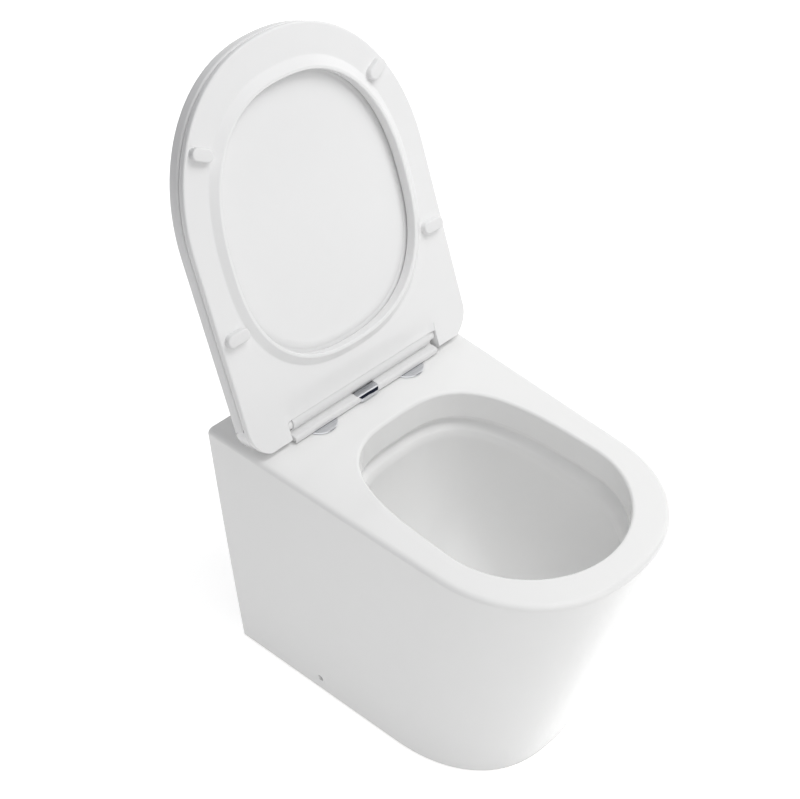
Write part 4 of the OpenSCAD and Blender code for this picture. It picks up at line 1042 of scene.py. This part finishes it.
# %% White background
def seen_directly(tree):
    """1 for rays from the camera, from gloss and through glass, 0 for light on its way."""
    path = add(tree, "ShaderNodeLightPath")
    either = add(tree, "ShaderNodeMath", operation="MAXIMUM")
    any_of_them = add(tree, "ShaderNodeMath", operation="MAXIMUM")
    tree.links.new(path.outputs["Is Camera Ray"], either.inputs[0])
    tree.links.new(path.outputs["Is Glossy Ray"], either.inputs[1])
    tree.links.new(either.outputs[0], any_of_them.inputs[0])
    tree.links.new(path.outputs["Is Transmission Ray"], any_of_them.inputs[1])
    return any_of_them.outputs[0]


FLOOR_HALF, FLOOR_GLOW = 6000.0, 0.6
SQUARE = np.array([[-1.0, -1.0, 0.0], [1.0, -1.0, 0.0], [1.0, 1.0, 0.0], [-1.0, 1.0, 0.0]])
floor = make_object("floor", FLOOR_HALF * SQUARE, [[0, 1, 2, 3]])
floor_look = bpy.data.materials.new("studio floor")
floor_look.use_nodes = True
floor_tree = floor_look.node_tree
floor_shader = floor_tree.nodes["Principled BSDF"]
floor_shader.inputs["Base Color"].default_value = (0.86, 0.86, 0.86, 1.0)
floor_shader.inputs["Roughness"].default_value = 0.9
floor_shader.inputs["Emission Color"].default_value = (1.0, 1.0, 1.0, 1.0)
glow = add(floor_tree, "ShaderNodeMath", operation="MULTIPLY")
glow.inputs[1].default_value = FLOOR_GLOW
floor_tree.links.new(seen_directly(floor_tree), glow.inputs[0])
floor_tree.links.new(glow.outputs[0], floor_shader.inputs["Emission Strength"])
floor.data.materials.append(floor_look)

# %% [markdown]
# The light that the room gives the object is soft and grows evenly in one direction: it is a mean
# level plus a slope times the direction, brightest overhead and a little brighter in front on the
# left. It costs no lamp and casts no edge.

# %% Light of the room
ROOM_MEAN, ROOM_SLOPE = 0.57, (-0.12, -0.09, 0.20)
world = bpy.data.worlds.new("studio")
bpy.context.scene.world = world
world.use_nodes = True
room = world.node_tree
direction = add(room, "ShaderNodeTexCoord")
slope = add(room, "ShaderNodeVectorMath", operation="DOT_PRODUCT")
slope.inputs[1].default_value = ROOM_SLOPE
level = add(room, "ShaderNodeMath", operation="ADD")
level.inputs[1].default_value = ROOM_MEAN
shade = add(room, "ShaderNodeMix", data_type="RGBA")
shade.inputs["B"].default_value = (1.0, 1.0, 1.0, 1.0)
room.links.new(direction.outputs["Generated"], slope.inputs[0])
room.links.new(slope.outputs["Value"], level.inputs[0])
room.links.new(level.outputs[0], shade.inputs["A"])
room.links.new(seen_directly(room), shade.inputs["Factor"])
room.links.new(shade.outputs["Result"], room.nodes["Background"].inputs["Color"])


# %% [markdown]
# One large soft lamp overhead, in front on the right, gives the forms their shading. Gloss doesn't
# see it, so it leaves no bright square in the glaze. Two dark panels that the camera never sees
# work as in a photographer's studio. The card is seen by gloss alone: without one, chrome in a
# white room looks like white plastic. The flag keeps some of the room's light off the upper left
# of seat and lid, and gloss doesn't see it.

# %% Lamp, card and flag
def aimed(name, data, place, aim):
    """An object at a place whose -Z axis points at another place."""
    made = bpy.data.objects.new(name, data)
    made.location = place
    ahead = Vector(np.array(aim) - np.array(place))
    made.rotation_euler = ahead.to_track_quat("-Z", "Y").to_euler()
    bpy.context.scene.collection.objects.link(made)
    return made


def screen(name, half_width, half_height, place, aim):
    """A matt dark panel, aimed at a place, which the camera never sees."""
    mesh = bpy.data.meshes.new(name)
    mesh.from_pydata((SQUARE * (half_width, half_height, 0)).tolist(), [], [(0, 1, 2, 3)])
    look = bpy.data.materials.new(name)
    look.use_nodes = True
    shader = look.node_tree.nodes["Principled BSDF"]
    shader.inputs["Base Color"].default_value = (0.012, 0.016, 0.035, 1.0)
    shader.inputs["Roughness"].default_value = 1.0
    mesh.materials.append(look)
    made = aimed(name, mesh, place, aim)
    made.visible_camera = made.visible_transmission = False
    return made


overhead = bpy.data.lights.new("overhead", "AREA")
overhead.energy, overhead.size = 18.0, 1.2
aimed("overhead", overhead, (0.55, -0.6, 2.35), (0.0, 0.0, 0.45)).visible_glossy = False
card = screen("card", 1.0, 1.3, (1.4, -1.55, 1.75), (0.0, 0.12, 0.42))
card.visible_diffuse = card.visible_shadow = False
flag = screen("flag", 0.8, 0.6, (-0.50, 0.50, 1.36), (0.0, 0.25, 0.65))
flag.visible_glossy = False

# %% [markdown]
# The camera stands where the photograph's camera stood. Its angles, its distance and the length
# of its lens in pixels come from a fit to the outlines in the picture, which is 800 pixels wide.

# %% Camera
AZIMUTH, ELEVATION, DISTANCE = np.radians(-45.34), np.radians(41.18), 2.0132
FOCAL_PIXELS, PICTURE_PIXELS, SENSOR = 1611.56, 800, 36.0
target = np.array([-0.00059, SHIFT * MM - 0.17972, 0.42310])
level_part = np.cos(ELEVATION)
back = np.array([np.sin(AZIMUTH) * level_part, -np.cos(AZIMUTH) * level_part, np.sin(ELEVATION)])
lens = bpy.data.cameras.new("camera")
lens.sensor_width, lens.lens = SENSOR, SENSOR * FOCAL_PIXELS / PICTURE_PIXELS
lens.shift_x, lens.shift_y = -0.0142, 0.0194
bpy.context.scene.camera = aimed("camera", lens, target + DISTANCE * back, target)
bpy.context.scene.view_settings.view_transform = "Standard"
print("camera %.2f m away, lens %.1f mm" % (DISTANCE, lens.lens))
